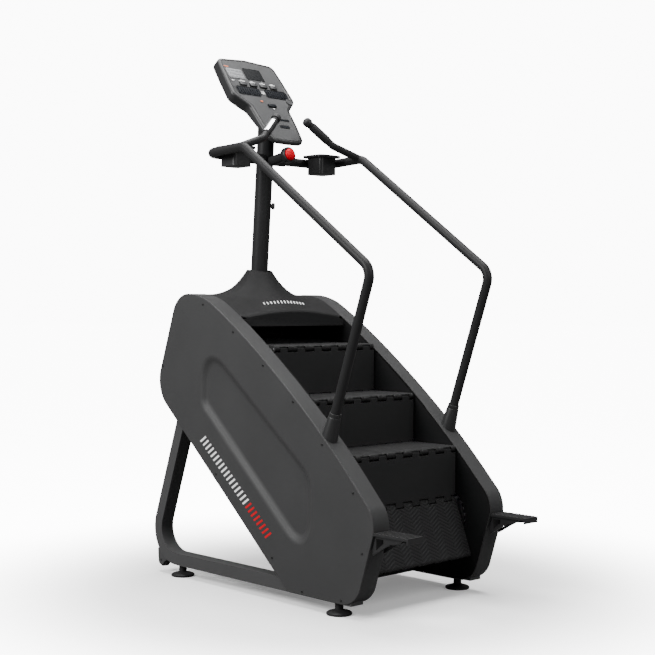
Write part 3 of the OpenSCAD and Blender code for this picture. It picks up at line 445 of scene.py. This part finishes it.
def side_cover(side, word):
    bm = bmesh.new()
    dish = rounded_face(bm, RECESS, on_outside)
    if dish.normal.x < 0:
        dish.normal_flip()
    bmesh.ops.inset_region(bm, faces=[dish], thickness=RECESS_SLOPE, depth=-RECESS_DEPTH, use_even_offset=True,
                           use_boundary=True)
    lip = [e for e in bm.edges if len(e.link_faces) == 1]
    floor_edge = list(dish.edges)
    plate = rounded_face(bm, HOUSING, on_outside)
    rim = list(plate.edges)
    bmesh.ops.delete(bm, geom=[plate], context="FACES_ONLY")
    bmesh.ops.triangle_fill(bm, use_beauty=True, use_dissolve=False, edges=rim + lip)
    folded = ring_of(bmesh.ops.extrude_edge_only(bm, edges=rim)["geom"])
    bmesh.ops.translate(bm, verts=folded[0], vec=(INNER_X - OUTER_X, 0, 0))
    bmesh.ops.recalc_face_normals(bm, faces=bm.faces[:])
    bmesh.ops.bevel(bm, geom=lip + floor_edge, offset=0.009, offset_type="OFFSET", segments=5, profile=0.5,
                    affect="EDGES", material=-1)
    rim = [e for e in rim if e.is_valid]
    bmesh.ops.bevel(bm, geom=rim, offset=0.003, offset_type="OFFSET", segments=3, profile=0.5,
                    affect="EDGES", material=-1)
    swap_side(bm, side)
    piece = to_piece("side_cover_" + word, bm, SHELL, stands_for=["outer_cover_" + word], smooth=45)
    wall = piece.modifiers.new("sheet", "SOLIDIFY")
    wall.thickness = 0.004
    wall.offset = -1.0
    wall.use_even_offset = True
    flat = piece.modifiers.new("flats", "WEIGHTED_NORMAL")
    flat.keep_sharp = True
    return piece


for side, word in SIDES:
    side_cover(side, word)

# %% [markdown]
# ## Shapes the frame already has right
# Box tubes, fascias, steps and panels are already the right shape, but their edges are
# knife sharp. For the tubes and steps a merged copy of the measured shape gets eased edges
# from a Bevel modifier, which catches the light as a real edge does; the rear sheet and the
# shroud get a merged, smoothed copy without the bevel. The measured node itself is left
# alone and hidden behind its copy.

# %% Eased copies
def eased_copy(node, name, material, body="frame", width=0.001, segments=2, smooth=30.0, angle=40.0):
    bm = bmesh.new()
    bm.from_mesh(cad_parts[node].data)
    bmesh.ops.remove_doubles(bm, verts=bm.verts[:], dist=2e-5)
    bmesh.ops.dissolve_limit(bm, angle_limit=math.radians(0.6), use_dissolve_boundaries=False, verts=bm.verts[:],
                             edges=bm.edges[:], delimit=set())
    piece = to_piece(name, bm, material, body, [node], smooth, turn_out=False)
    if width:
        ease_edges(piece, width, segments, angle)
    return piece


for side, word in SIDES:
    eased_copy("frame_" + word, "tube_frame_" + word, PAINT, width=0.0035, segments=3)
    eased_copy("side_step_" + word, "mounting_step_" + word, MOULD, width=0.001)
eased_copy("cross_members", "cross_tubes", PAINT, width=0.002)
eased_copy("rear_cover", "rear_sheet", SHELL, width=0.0)
eased_copy("shroud", "top_shroud", SHROUD, width=0.0, smooth=50)

# %% [markdown]
# ## Steps
# Eight treads and risers hang from a pair of chains. The tread's hinge edge is cut into
# teeth, and the riser's teeth fit between them, like a door hinge as wide as the step. The
# loop lies in four rigid stretches, so each step rides with the stretch that carries it.

# %% Treads and risers
def corner_point(k):
    """Hinge k and nose k as [y, z], for k from 1 to 4 on the front run."""
    chain_radius = 0.0254 / (2 * math.sin(math.pi / 27))
    start = BOTTOM - chain_radius * Vector((UP_RUN.y, -UP_RUN.x))
    return start + (4 - k) * 0.3048 * UP_RUN


LEVEL_TREAD = tread_finish("tread_ribbed_level", (1.0, 0.0))
first_nose = corner_point(4) - Vector((0.0876, 0.213))
steep = (first_nose - corner_point(4)).normalized()
STEEP_TREAD = tread_finish("tread_ribbed_steep", steep)
STEP_BODY = {0: "top_drive", 1: "front_run", 2: "front_run", 3: "front_run", 4: "bottom_drive"}
for k, body in STEP_BODY.items():
    eased_copy(f"tread_{k}", f"step_tread_{k}", STEEP_TREAD if k == 4 else LEVEL_TREAD, body, 0.0012)
    eased_copy(f"riser_{k}", f"step_riser_{k}", RISER, body, 0.0010)
print("steep tread runs", [round(v, 2) for v in steep])

# %% [markdown]
# ## Handrails
# Each handrail is one bent tube: up from the housing, along the climb, round to the mast,
# with a second tube welded on for the pulse grip. A curve with a round bevel would do, but
# extrusions and part-turn spins keep the true bend radius and an even wall of quads. The
# grip wears a dark sleeve. Its bright plate covers only the palm side, so it is a spun bar
# cut down its length with a bisect, and the cut is filled so that it stays closed.

# %% Handrail stations
RAIL_X = 0.335
POST = Vector((0, -0.184, 0.533)).normalized()
low_bend = Vector((RAIL_X, BOTTOM.x - 0.211, BOTTOM.y + 0.9875))
rail_foot = low_bend - POST * 0.760
high_bend = Vector((RAIL_X, TOP.x - 0.151, TOP.y + 0.9185))
front_bend = Vector((RAIL_X, TOP.x + 0.086, TOP.y + 0.908))
rail_end = Vector((0.061, front_bend.y, front_bend.z))
grip_root = high_bend + Vector((0, 0.014, 0.002))
grip_kink = Vector((0.199, TOP.x - 0.112, TOP.y + 0.967))
grip_tip = Vector((0.075, TOP.x - 0.062, TOP.y + 1.0745))
GRIP = (grip_tip - grip_kink).normalized()
grip_length = (grip_tip - grip_kink).length
print("grip length", round(grip_length, 3))


def sided(v, side):
    return Vector((v.x * side, v.y, v.z))

# %% Rails, sockets, grips and caps
RAIL_D, RAIL_BEND, BRANCH_D, BRANCH_BEND = 0.038, 0.062, 0.032, 0.040
CAP_LENGTH, SLEEVE_START, SLEEVE_STOP = 0.030, 0.034, 0.046


def handrail(side, word):
    bm = bmesh.new()
    bent_tube(bm, [rail_foot, low_bend, high_bend, front_bend, rail_end], RAIL_D, RAIL_BEND)
    bent_tube(bm, [grip_root, grip_kink, grip_kink + GRIP * (grip_length - CAP_LENGTH)], BRANCH_D, BRANCH_BEND)
    swap_side(bm, side)
    return to_piece("hand_rail_" + word, bm, RAIL, stands_for=["handrail_" + word], smooth=40)


for side, word in SIDES:
    handrail(side, word)

sockets, sleeves, plates, caps = (bmesh.new() for _ in range(4))
for side, word in SIDES:
    post, grip = sided(POST, side), sided(GRIP, side)
    turned([(0.0190, 0.068), (0.0352, 0.068), (0.0348, 0.074), (0.0246, 0.176), (0.0238, 0.1795), (0.0226, 0.1805),
            (0.0226, 0.1825), (0.0230, 0.1840), (0.0228, 0.1945), (0.0218, 0.196), (0.0192, 0.196)],
           aim(sided(rail_foot, side), post), bm=sockets)
    kink = sided(grip_kink, side)
    low, high = SLEEVE_START, grip_length - SLEEVE_STOP
    turned([(0.0160, low), (0.0178, low), (0.0181, low + 0.0012), (0.0181, high - 0.0012), (0.0178, high), (0.0160, high)],
           aim(kink, grip), bm=sleeves)
    low, high = low + 0.006, high - 0.006
    plate = turned([(0.0, low), (0.0181, low), (0.0186, low + 0.0006), (0.0186, high - 0.0006), (0.0181, high),
                    (0.0, high)], aim(kink, grip))
    palm = Vector((side, 0, -0.3))
    bmesh.ops.bisect_plane(plate, geom=plate.verts[:] + plate.edges[:] + plate.faces[:], plane_co=kink,
                           plane_no=(palm - grip * palm.dot(grip)).normalized(), clear_inner=True)
    bmesh.ops.holes_fill(plate, edges=[e for e in plate.edges if len(e.link_faces) == 1], sides=0)
    half = bpy.data.meshes.new("half_sleeve")
    plate.to_mesh(half)
    plates.from_mesh(half)
    bpy.data.meshes.remove(half)
    plate.free()
    dome = [(0.020 * math.cos(math.radians(a)), 0.014 + 0.016 * math.sin(math.radians(a)))
            for a in range(0, 91, 10)]
    turned([(0.0160, 0.0003), (0.0190, 0.0003), (0.0200, 0.0013), *dome[:-1], (0.0, CAP_LENGTH)],
           aim(kink + grip * (grip_length - CAP_LENGTH), grip), bm=caps)
to_piece("rail_boots", sockets, MOULD, stands_for=["rail_sockets"])
to_piece("pulse_sleeves", sleeves, RUBBER, stands_for=["pulse_grips"])
to_piece("pulse_plates", plates, CHROME)
to_piece("grip_end_caps", caps, RUBBER, stands_for=["grip_caps"])

# %% [markdown]
# ## Cover screws
# Twelve dark cap screws hold each cover. They are tiny, so one profile with a sunk drive is
# spun for each, and all of them share one mesh.

# %% Screws
SCREWS = [
    (TOP.x + 0.065, TOP.y + 0.2835), (TOP.x - 0.130, TOP.y + 0.1735), (TOP.x - 0.314, TOP.y + 0.046),
    (BOTTOM.x + 0.171, BOTTOM.y + 0.4875), (BOTTOM.x + 0.009, BOTTOM.y + 0.3365),
    (BOTTOM.x - 0.156, BOTTOM.y + 0.1735),
    (BOTTOM.x - 0.203, BOTTOM.y - 0.0425), (BOTTOM.x - 0.095, RAIL_Z + 0.015), (BOTTOM.x + 0.117, RAIL_Z + 0.015),
    (BOTTOM.x + 0.290, BOTTOM.y - 0.1265), (TOP.x - 0.023, TOP.y - 0.4075), (TOP.x + 0.339, TOP.y + 0.0205),
]
heads = bmesh.new()
for side, word in SIDES:
    for y, z in SCREWS:
        turned([(0.0050, 0.0), (0.0050, 0.0012), (0.0042, 0.0022), (0.0024, 0.0022), (0.0022, 0.0006), (0.0, 0.0006)],
               aim((side * OUTER_X, y, z), (side, 0, 0)), steps=18, bm=heads)
to_piece("cover_screw_heads", heads, SCREW, stands_for=["cover_screws"])

# %% [markdown]
# ## Graphic bands
# The covers carry a printed band along the lower edge. A plain row of slanted bars, pale and
# then red, gives the same weight of print with nothing to read. A shorter row lies on the
# shroud. That surface is curved, so a ray finds the spot and the tilt for each bar.

# %% Slanted bars
def bar_row(bm, start, end, count, width, height, normal, lean=0.35, thick=0.0004):
    """Thin slanted bars from start to end, lying on a surface with that normal."""
    along = (end - start).normalized()
    across = normal.cross(along).normalized()
    for i in range(count):
        centre = start.lerp(end, (i + 0.5) / count) + normal * thick / 2
        axes = Matrix((along * width, (across + along * lean) * height, normal * thick))
        bmesh.ops.create_cube(bm, size=1.0, matrix=Matrix.Translation(centre) @ axes.transposed().to_4x4())
    return bm


BAND = ((0.4126, 0.604), (0.124, 0.362), (-0.012, 0.245))
BAR_WIDTH, BAR_HEIGHT = 0.0085, 0.040
pale, red = bmesh.new(), bmesh.new()
for side, word in SIDES:
    face = Vector((side, 0, 0))
    first, change, last = (Vector((side * OUTER_X, *station)) for station in BAND)
    bar_row(pale, first, change, 17, BAR_WIDTH, BAR_HEIGHT, face, lean=0.30)
    bar_row(red, change, last, 8, BAR_WIDTH, BAR_HEIGHT, face, lean=0.30)

# %% Bars on the shroud
SLOPE = Vector((0, -0.585, 0.811))
ROW_AT, ROW_STEP, ROW_COUNT = Vector((-0.111, TOP.x - 0.02201, TOP.y + 0.29051)), 0.0185, 13
hood = bmesh.new()
hood.from_mesh(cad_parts["shroud"].data)
shroud_surface = BVHTree.FromBMesh(hood)
hood.free()
HALF_BAR = Vector((0.004, 0, 0))
for i in range(ROW_COUNT):
    above = ROW_AT + Vector((ROW_STEP * i, 0, 0)) + SLOPE * 0.1
    spot, normal, index, gap = shroud_surface.ray_cast(above, -SLOPE)
    bar_row(pale, spot - HALF_BAR, spot + HALF_BAR, 1, 0.0060, 0.018, normal, lean=0.25, thick=0.0012)
to_piece("band_pale_bars", pale, WHITE)
to_piece("band_red_bars", red, RED)

# %% [markdown]
# ## Console shell
# The console is a shallow tray of moulded plastic, widest near the top, with a raised lip
# round a recessed face. It is drawn flat in its own axes, across, up the face and outwards,
# and one matrix stands it on the mast. The back is sliced off at a slant with a bisect.

# %% Console axes and outline
UP_FACE, OUT_FACE = Vector((0, 0.6088, 0.7934)), Vector((0, -0.7934, 0.6088))
CONSOLE_AT = Matrix.Translation((0, TOP.x - 0.023, TOP.y + 1.0085)) @ Matrix(
    (Vector((1, 0, 0)), UP_FACE, OUT_FACE)).transposed().to_4x4()
HALF = [(0.094, -0.046, 0.044), (0.108, 0.060, 0.060), (0.113, 0.152, 0.034), (0.177, 0.214, 0.034),
        (0.170, 0.330, 0.120), (0.160, 0.431, 0.032)]
EDGE = [(0, -0.050, 0), *HALF, (0, 0.446, 0), *[(-a, b, r) for a, b, r in reversed(HALF)]]


def flat(a, b):
    return Vector((a, b, 0))

# %% Shell with lip, slanted back and rounded edges
def console_shell():
    bm = bmesh.new()
    front = rounded_face(bm, EDGE, flat)
    if front.normal.z < 0:
        front.normal_flip()
    outer = list(front.edges)
    walls = ring_of(bmesh.ops.extrude_edge_only(bm, edges=outer)["geom"])
    bmesh.ops.translate(bm, verts=walls[0], vec=(0, 0, -0.050))
    bmesh.ops.holes_fill(bm, edges=walls[1], sides=0)
    slant = Vector((0, -0.138, -0.990)).normalized()
    bmesh.ops.bisect_plane(bm, geom=bm.verts[:] + bm.edges[:] + bm.faces[:], plane_co=(0, 0.170, -0.0499),
                           plane_no=slant, clear_outer=True)
    bmesh.ops.holes_fill(bm, edges=[e for e in bm.edges if len(e.link_faces) == 1], sides=0)
    bmesh.ops.recalc_face_normals(bm, faces=bm.faces[:])
    bmesh.ops.inset_region(bm, faces=[front], thickness=0.0140, use_even_offset=True)
    bmesh.ops.inset_region(bm, faces=[front], thickness=0.0008, depth=-0.0038, use_even_offset=True)
    outer = [e for e in outer if e.is_valid]
    back = [e for e in bm.edges if len(e.link_faces) == 2 and min(f.normal.z for f in e.link_faces) < -0.9
            and max(f.normal.z for f in e.link_faces) > -0.3]
    bmesh.ops.bevel(bm, geom=outer, offset=0.0115, offset_type="OFFSET", segments=7, profile=0.5,
                    affect="EDGES", material=-1)
    back = [e for e in back if e.is_valid]
    bmesh.ops.bevel(bm, geom=back, offset=0.010, offset_type="OFFSET", segments=5, profile=0.5,
                    affect="EDGES", material=-1)
    bmesh.ops.transform(bm, matrix=CONSOLE_AT, verts=bm.verts[:])
    piece = to_piece("console_shell", bm, CONSOLE, stands_for=["console_housing"], smooth=50)
    piece.modifiers.new("flats", "WEIGHTED_NORMAL").keep_sharp = True
    return piece


console_shell()

# %% [markdown]
# ## Console face
# The face plate has two ribbed trays, holes for the keys, a window for the display and a few
# shallow wells. Each well is a rounded patch with its middle inset downwards. A fill between
# all the loops then makes the flat around them.

# %% Face plate with its wells
def box_corners(x0, x1, w0, w1, radius):
    return [(x0, w0, radius), (x1, w0, radius), (x1, w1, radius), (x0, w1, radius)]


KEYS = {"key_1": -0.085, "key_2": -0.028, "key_3": 0.029, "key_4": 0.086}
TRAYS = ((-0.138, -0.008), (0.020, 0.148))
WELLS = [(box_corners(x0, x1, 0.221, 0.268, 0.012), 0.0030) for x0, x1 in TRAYS]
WELLS += [(box_corners(x - 0.0195, x + 0.0195, 0.275, 0.293, 0.002), 0.0026) for x in KEYS.values()]
WELLS += [(box_corners(-0.0045, 0.0405, 0.1595, 0.1765, 0.002), 0.0026),
          (box_corners(-0.0445, 0.0565, 0.3175, 0.3865, 0.003), 0.0012),
          (box_corners(0.018, 0.074, 0.083, 0.092, 0.003), 0.0022),
          (box_corners(0.000, 0.054, 0.040, 0.054, 0.004), 0.0022)]
FACE_TOP = -0.0006


def face_plate():
    bm = bmesh.new()
    whole = rounded_face(bm, EDGE, flat)
    if whole.normal.z < 0:
        whole.normal_flip()
    bmesh.ops.inset_region(bm, faces=[whole], thickness=0.0172, use_even_offset=True, use_boundary=True)
    keep = set(whole.verts)
    bmesh.ops.delete(bm, geom=[v for v in bm.verts if v not in keep], context="VERTS")
    outline = list(whole.edges)
    bmesh.ops.delete(bm, geom=[whole], context="FACES_ONLY")
    loops = outline[:]
    for corners, depth in WELLS:
        well = rounded_face(bm, corners, flat)
        if well.normal.z < 0:
            well.normal_flip()
        loops += list(well.edges)
        bmesh.ops.inset_region(bm, faces=[well], thickness=0.0004, depth=-depth, use_even_offset=True,
                               use_boundary=True)
    bmesh.ops.triangle_fill(bm, use_beauty=True, use_dissolve=False, edges=loops)
    skirt = ring_of(bmesh.ops.extrude_edge_only(bm, edges=outline)["geom"])
    bmesh.ops.translate(bm, verts=skirt[0], vec=(0, 0, -0.0028))
    bmesh.ops.translate(bm, verts=bm.verts[:], vec=(0, 0, FACE_TOP))
    bmesh.ops.recalc_face_normals(bm, faces=bm.faces[:])
    if sum(f.normal.z * f.calc_area() for f in bm.faces) < 0:
        bmesh.ops.reverse_faces(bm, faces=bm.faces[:])
    bmesh.ops.transform(bm, matrix=CONSOLE_AT, verts=bm.verts[:])
    return to_piece("face_plate", bm, FACE, stands_for=["console_face"], smooth=25, turn_out=False)


face_plate()

# %% [markdown]
# Small slabs do the rest of the face: tray liners with ribs, the pale keypad with its
# buttons, printed ticks and marks. One helper makes a slab with rounded corners and a
# bevelled top, at a given height on the face.

# %% Slabs on the face
def slab(bm, corners, low, high, ease=0.0006):
    """A rounded slab in console axes, from height low to high, with its upper rim eased."""
    top = rounded_face(bm, corners, lambda a, b: Vector((a, b, high)))
    if top.normal.z < 0:
        top.normal_flip()
    rim = list(top.edges)
    made = ring_of(bmesh.ops.extrude_edge_only(bm, edges=rim)["geom"])
    bmesh.ops.translate(bm, verts=made[0], vec=(0, 0, low - high))
    bmesh.ops.holes_fill(bm, edges=made[1], sides=0)
    if ease:
        bmesh.ops.bevel(bm, geom=rim, offset=ease, offset_type="OFFSET", segments=2, profile=0.5,
                        affect="EDGES", material=-1)


def on_face(name, bm, material, body="frame", stands_for=(), smooth=40):
    bmesh.ops.transform(bm, matrix=CONSOLE_AT, verts=bm.verts[:])
    return to_piece(name, bm, material, body, stands_for, smooth)

# %% Trays, keypad, marks
INK = (FACE_TOP - 0.0002, FACE_TOP + 0.0003)
liners, pads, buttons, white_marks, amber_marks, dark_marks = (bmesh.new() for _ in range(6))
for x0, x1 in TRAYS:
    slab(liners, box_corners(x0 + 0.0008, x1 - 0.0008, 0.2218, 0.2672, 0.0115), -0.0034, -0.0026, 0.0)
    for i in range(9):
        x = x0 + 0.012 + i * (x1 - x0 - 0.024) / 8
        slab(liners, box_corners(x - 0.0028, x + 0.0028, 0.227, 0.262, 0.0027), -0.0030, -0.0002, 0.0006)
slab(pads, box_corners(-0.143, -0.056, 0.314, 0.371, 0.006), FACE_TOP - 0.0004, FACE_TOP + 0.0008)
for row in range(3):
    for column in range(4):
        x, w = -0.132 + column * 0.0215, 0.3245 + row * 0.0180
        slab(buttons, box_corners(x - 0.0080, x + 0.0080, w - 0.0055, w + 0.0055, 0.003), FACE_TOP + 0.0004,
             FACE_TOP + 0.0018)
for x in KEYS.values():
    slab(white_marks, box_corners(x - 0.016, x + 0.016, 0.2985, 0.3015, 0.001), *INK, 0.0)
    slab(white_marks, box_corners(x - 0.006, x + 0.006, 0.3045, 0.3065, 0.0008), *INK, 0.0)
for mark in ((-0.003, 0.015, 0.236, 0.240), (-0.003, 0.015, 0.246, 0.250), (-0.142, -0.128, 0.296, 0.300),
             (0.014, 0.024, 0.148, 0.153)):
    slab(white_marks, box_corners(*mark, 0.001), *INK, 0.0)
slab(amber_marks, box_corners(-0.146, -0.120, 0.379, 0.385, 0.002), *INK, 0.0)
slab(amber_marks, box_corners(-0.036, -0.022, 0.186, 0.193, 0.002), *INK, 0.0)
slab(dark_marks, box_corners(0.0010, 0.0530, 0.0408, 0.0532, 0.0035), FACE_TOP - 0.0024, FACE_TOP - 0.0012, 0.0)
slab(dark_marks, box_corners(0.0190, 0.0730, 0.0836, 0.0914, 0.0026), FACE_TOP - 0.0024, FACE_TOP - 0.0014, 0.0)
on_face("face_dark_insets", dark_marks, TRAY)
boss = turned([(0.0, -0.003), (0.0175, -0.003), (0.0180, 0.0012), (0.0165, 0.0026), (0.0135, 0.0026), (0.0125, 0.0012),
               (0.0, 0.0012)], Matrix.Translation((0.1385, 0.2060, 0)), steps=40)
on_face("fan_boss", boss, FACE)
on_face("tray_liners", liners, TRAY)
on_face("keypad_pad", pads, KEYPAD)
on_face("keypad_buttons", buttons, KEYPAD)
on_face("face_ticks", white_marks, WHITE)
on_face("face_amber_marks", amber_marks, AMBER)

# %% Keys that press in
for node, x in KEYS.items():
    bm = bmesh.new()
    slab(bm, box_corners(x - 0.0187, x + 0.0187, 0.2758, 0.2922, 0.0018), -0.0004, 0.0035, 0.0009)
    on_face("push_" + node, bm, KEY, node + "_cap", [node])
bm = bmesh.new()
slab(bm, box_corners(-0.0038, 0.0398, 0.1602, 0.1758, 0.0018), -0.0004, 0.0035, 0.0009)
on_face("push_start", bm, TRAY, "start_cap", ["start_key"])

# %% [markdown]
# ## Stop button
# A red mushroom button stands in a black cup on a short arm from the mast. Both are lathe
# work. The button's dome is a quarter circle in profile, and it rides on its own body,
# since it presses in.

# %% Cup and button
MAST_AXIS = Vector((0, -0.0717, 0.9974)).normalized()
MAST_FOOT = Vector((0, TOP.x + 0.152, TOP.y + 0.2715))
stop_level = TOP.y + 0.892
STOP = Vector((0, -0.985, 0.17)).normalized()
stop_at = MAST_FOOT + MAST_AXIS * ((stop_level - MAST_FOOT.z) / MAST_AXIS.z) + STOP * 0.1283
ring = turned([(0.0, 0.0), (0.0205, 0.0), (0.0215, 0.0008), (0.0330, 0.0130), (0.0340, 0.0150), (0.0340, 0.0335),
               (0.0330, 0.0362), (0.0312, 0.0370), (0.0272, 0.0370), (0.0265, 0.0362), (0.0265, 0.0240), (0.0, 0.0240)],
              aim(stop_at, STOP), steps=64)
to_piece("stop_cup", ring, STOP_BLACK, stands_for=["stop_housing"])
dome = [(0.025 * math.cos(math.radians(a)), 0.008 + 0.011 * math.sin(math.radians(a))) for a in range(0, 90, 6)]
button = turned([(0.0, 0.0), (0.0246, 0.0), (0.0250, 0.0004), *dome, (0.0, 0.019)],
                aim(stop_at + STOP * 0.031, STOP), steps=64)
to_piece("stop_dome", button, STOP_RED, "stop_knob", ["stop_button"])

# %% [markdown]
# ## Mast knob
# A small round knob stands on the right of the mast, where the console's height is locked.

# %% Knob
knob_side = Vector((0.62, -0.78, 0)).normalized()
knob_side = (knob_side - MAST_AXIS * knob_side.dot(MAST_AXIS)).normalized()
knob_foot = MAST_FOOT + MAST_AXIS * 0.442 + knob_side * 0.030
knob = turned([(0.0, 0.0), (0.0095, 0.0), (0.0095, 0.010), (0.0135, 0.011), (0.0145, 0.0125), (0.0145, 0.0205),
               (0.0130, 0.0225), (0.0, 0.0232)], aim(knob_foot, knob_side), steps=40)
to_piece("mast_lock_knob", knob, MOULD)

# %% [markdown]
# ## Cup holders
# The cup holders are square moulded cups with a wide flange, each under its rail.

# %% Cup holders
for side, word in SIDES:
    eased_copy("cup_holder_" + word, "bottle_cup_" + word, MOULD, width=0.0018, segments=3)

# %% [markdown]
# ## Finishes for the frame's own shapes
# Feet, wheels, chains, shafts, panels and the display glass are already right, so they keep
# their measured shape and only take a finish. The nodes hidden behind a piece get the same
# finish as their piece.

# %% Paint the frame's nodes
NODE_FINISH = [
    (SHELL, ("outer_cover_", "rear_cover")), (SHROUD, ("shroud",)), (PANEL, ("inner_panel_",)),
    (PAINT, ("frame_", "cross_members")),
    (RAIL, ("handrail_", "mast")), (MOULD, ("side_step_", "cup_holder_", "rail_sockets")), (CHROME, ("pulse_grips",)),
    (RUBBER, ("foot_", "wheel_", "grip_caps")), (CONSOLE, ("console_housing",)), (FACE, ("console_face",)),
    (SCREEN, ("console_screen",)), (KEY, ("key_",)), (TRAY, ("start_key",)), (STOP_BLACK, ("stop_housing",)),
    (STOP_RED, ("stop_button",)), (LEVEL_TREAD, ("tread_", "return_steps")), (RISER, ("riser_",)),
    (STEEL, ("front_chain", "return_chain", "bottom_chain", "top_chain", "bottom_shaft", "top_shaft")),
    (ZINC, ("bearing_plates", "guide_tracks", "shaft_bearings")), (SCREW, ("cover_screws",)),
    (IRON, ("drive_pulley", "brake_rotor")),
    (BELT, ("drive_belt",)), (BRAKE, ("brake_stator",)),
]
for node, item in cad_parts.items():
    chosen = next(m for m, starts in NODE_FINISH if node.startswith(starts))
    item.data.materials.clear()
    item.data.materials.append(chosen)
print(len(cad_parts), "nodes painted")

# %% [markdown]
# ## Floor and light
# A studio shot on white. The floor is pale and glows more with distance, so it meets the
# white surround without a horizon. Its glow is weak close to the machine, which paints a grey
# shade zone round it, over the lamps' real soft shadow there. It glows for the viewer only and
# is darker as a mirror, or it would light the machine from below.

# %% Floor
floor_mesh = bmesh.new()
bmesh.ops.create_grid(floor_mesh, x_segments=8, y_segments=8, size=60.0)
mesh = bpy.data.meshes.new("floor")
floor_mesh.to_mesh(mesh)
floor_mesh.free()
floor = bpy.data.objects.new("floor", mesh)
bpy.context.scene.collection.objects.link(floor)
FLOOR = finish("studio_floor", (0.90, 0.90, 0.90), (0.60, 0.70), grain=0.0, patches=0.01, specular=0.0)
# Weak glow near the machine paints a grey shade zone round it, fading to white further out.
PAINTED_SHADE_GLOW, FAR_GLOW, PAINTED_SHADE_REACH, WHITE_FROM = 0.20, 11.0, 0.8, 2.1
BOUNCE = (0.16, 0.16, 0.16, 1)
floor_tree = FLOOR.node_tree
floor_shader = floor_tree.nodes["Principled BSDF"]
floor_shader.inputs["Emission Color"].default_value = (1, 1, 1, 1)
seen = floor_tree.nodes.new("ShaderNodeLightPath")
floor_place = floor_tree.nodes.new("ShaderNodeTexCoord").outputs["Object"]
reach = floor_tree.nodes.new("ShaderNodeVectorMath")
reach.operation = "LENGTH"
floor_tree.links.new(floor_place, reach.inputs[0])
# Glow rises with distance from the machine: the low glow close to it is painted shade.
glow = floor_tree.nodes.new("ShaderNodeMapRange")
glow.interpolation_type = "SMOOTHSTEP"
for name, value in (("From Min", PAINTED_SHADE_REACH), ("From Max", WHITE_FROM), ("To Min", PAINTED_SHADE_GLOW), ("To Max", FAR_GLOW)):
    glow.inputs[name].default_value = value
floor_tree.links.new(reach.outputs["Value"], glow.inputs["Value"])
floor_tree.links.new(maths(floor_tree, "MULTIPLY", seen.outputs["Is Camera Ray"], glow.outputs["Result"]),
                     floor_shader.inputs["Emission Strength"])
shown = floor_tree.nodes.new("ShaderNodeMix")
shown.data_type = "RGBA"
shown.inputs[6].default_value = BOUNCE
floor_tree.links.new(seen.outputs["Is Camera Ray"], shown.inputs[0])
floor_tree.links.new(floor_shader.inputs["Base Color"].links[0].from_socket, shown.inputs[7])
floor_tree.links.new(shown.outputs[2], floor_shader.inputs["Base Color"])
mesh.materials.append(FLOOR)

# %% [markdown]
# The surround is pure white where it is seen and much softer as a light, so the black
# machine keeps its depth. A Light Path node tells the two apart. One large lamp hangs
# overhead, the strongest stands to the left and a little behind, and a weak one in front.

# %% Surround and lamps
world = bpy.data.worlds.new("studio")
bpy.context.scene.world = world
world.use_nodes = True
sky = world.node_tree
ray = sky.nodes.new("ShaderNodeLightPath")
background = sky.nodes["Background"]
background.inputs["Color"].default_value = (1.0, 1.0, 1.0, 1)
SKY_SEEN, SKY_LIGHT = 11.0, 0.26
sky.links.new(maths(sky, "ADD", maths(sky, "MULTIPLY", ray.outputs["Is Camera Ray"], SKY_SEEN - SKY_LIGHT), SKY_LIGHT),
              background.inputs["Strength"])


def soft_lamp(name, at, towards, size, power):
    lamp_data = bpy.data.lights.new(name, "AREA")
    lamp_data.shape = "RECTANGLE"
    lamp_data.size, lamp_data.size_y = size
    lamp_data.energy = power
    lamp = bpy.data.objects.new(name, lamp_data)
    facing = (Vector(at) - Vector(towards)).to_track_quat("Z", "Y")
    lamp.matrix_world = Matrix.Translation(at) @ facing.to_matrix().to_4x4()
    bpy.context.scene.collection.objects.link(lamp)
    return lamp


soft_lamp("overhead", (0.0, 0.0, 5.0), (0, 0, 0.8), (4.0, 4.0), 520)
soft_lamp("left_key", (-5.0, 1.0, 3.6), (0, 0, 1.0), (2.4, 2.4), 520)
soft_lamp("front_fill", (0.5, -6.0, 4.2), (0, 0, 1.2), (3.0, 3.0), 200)
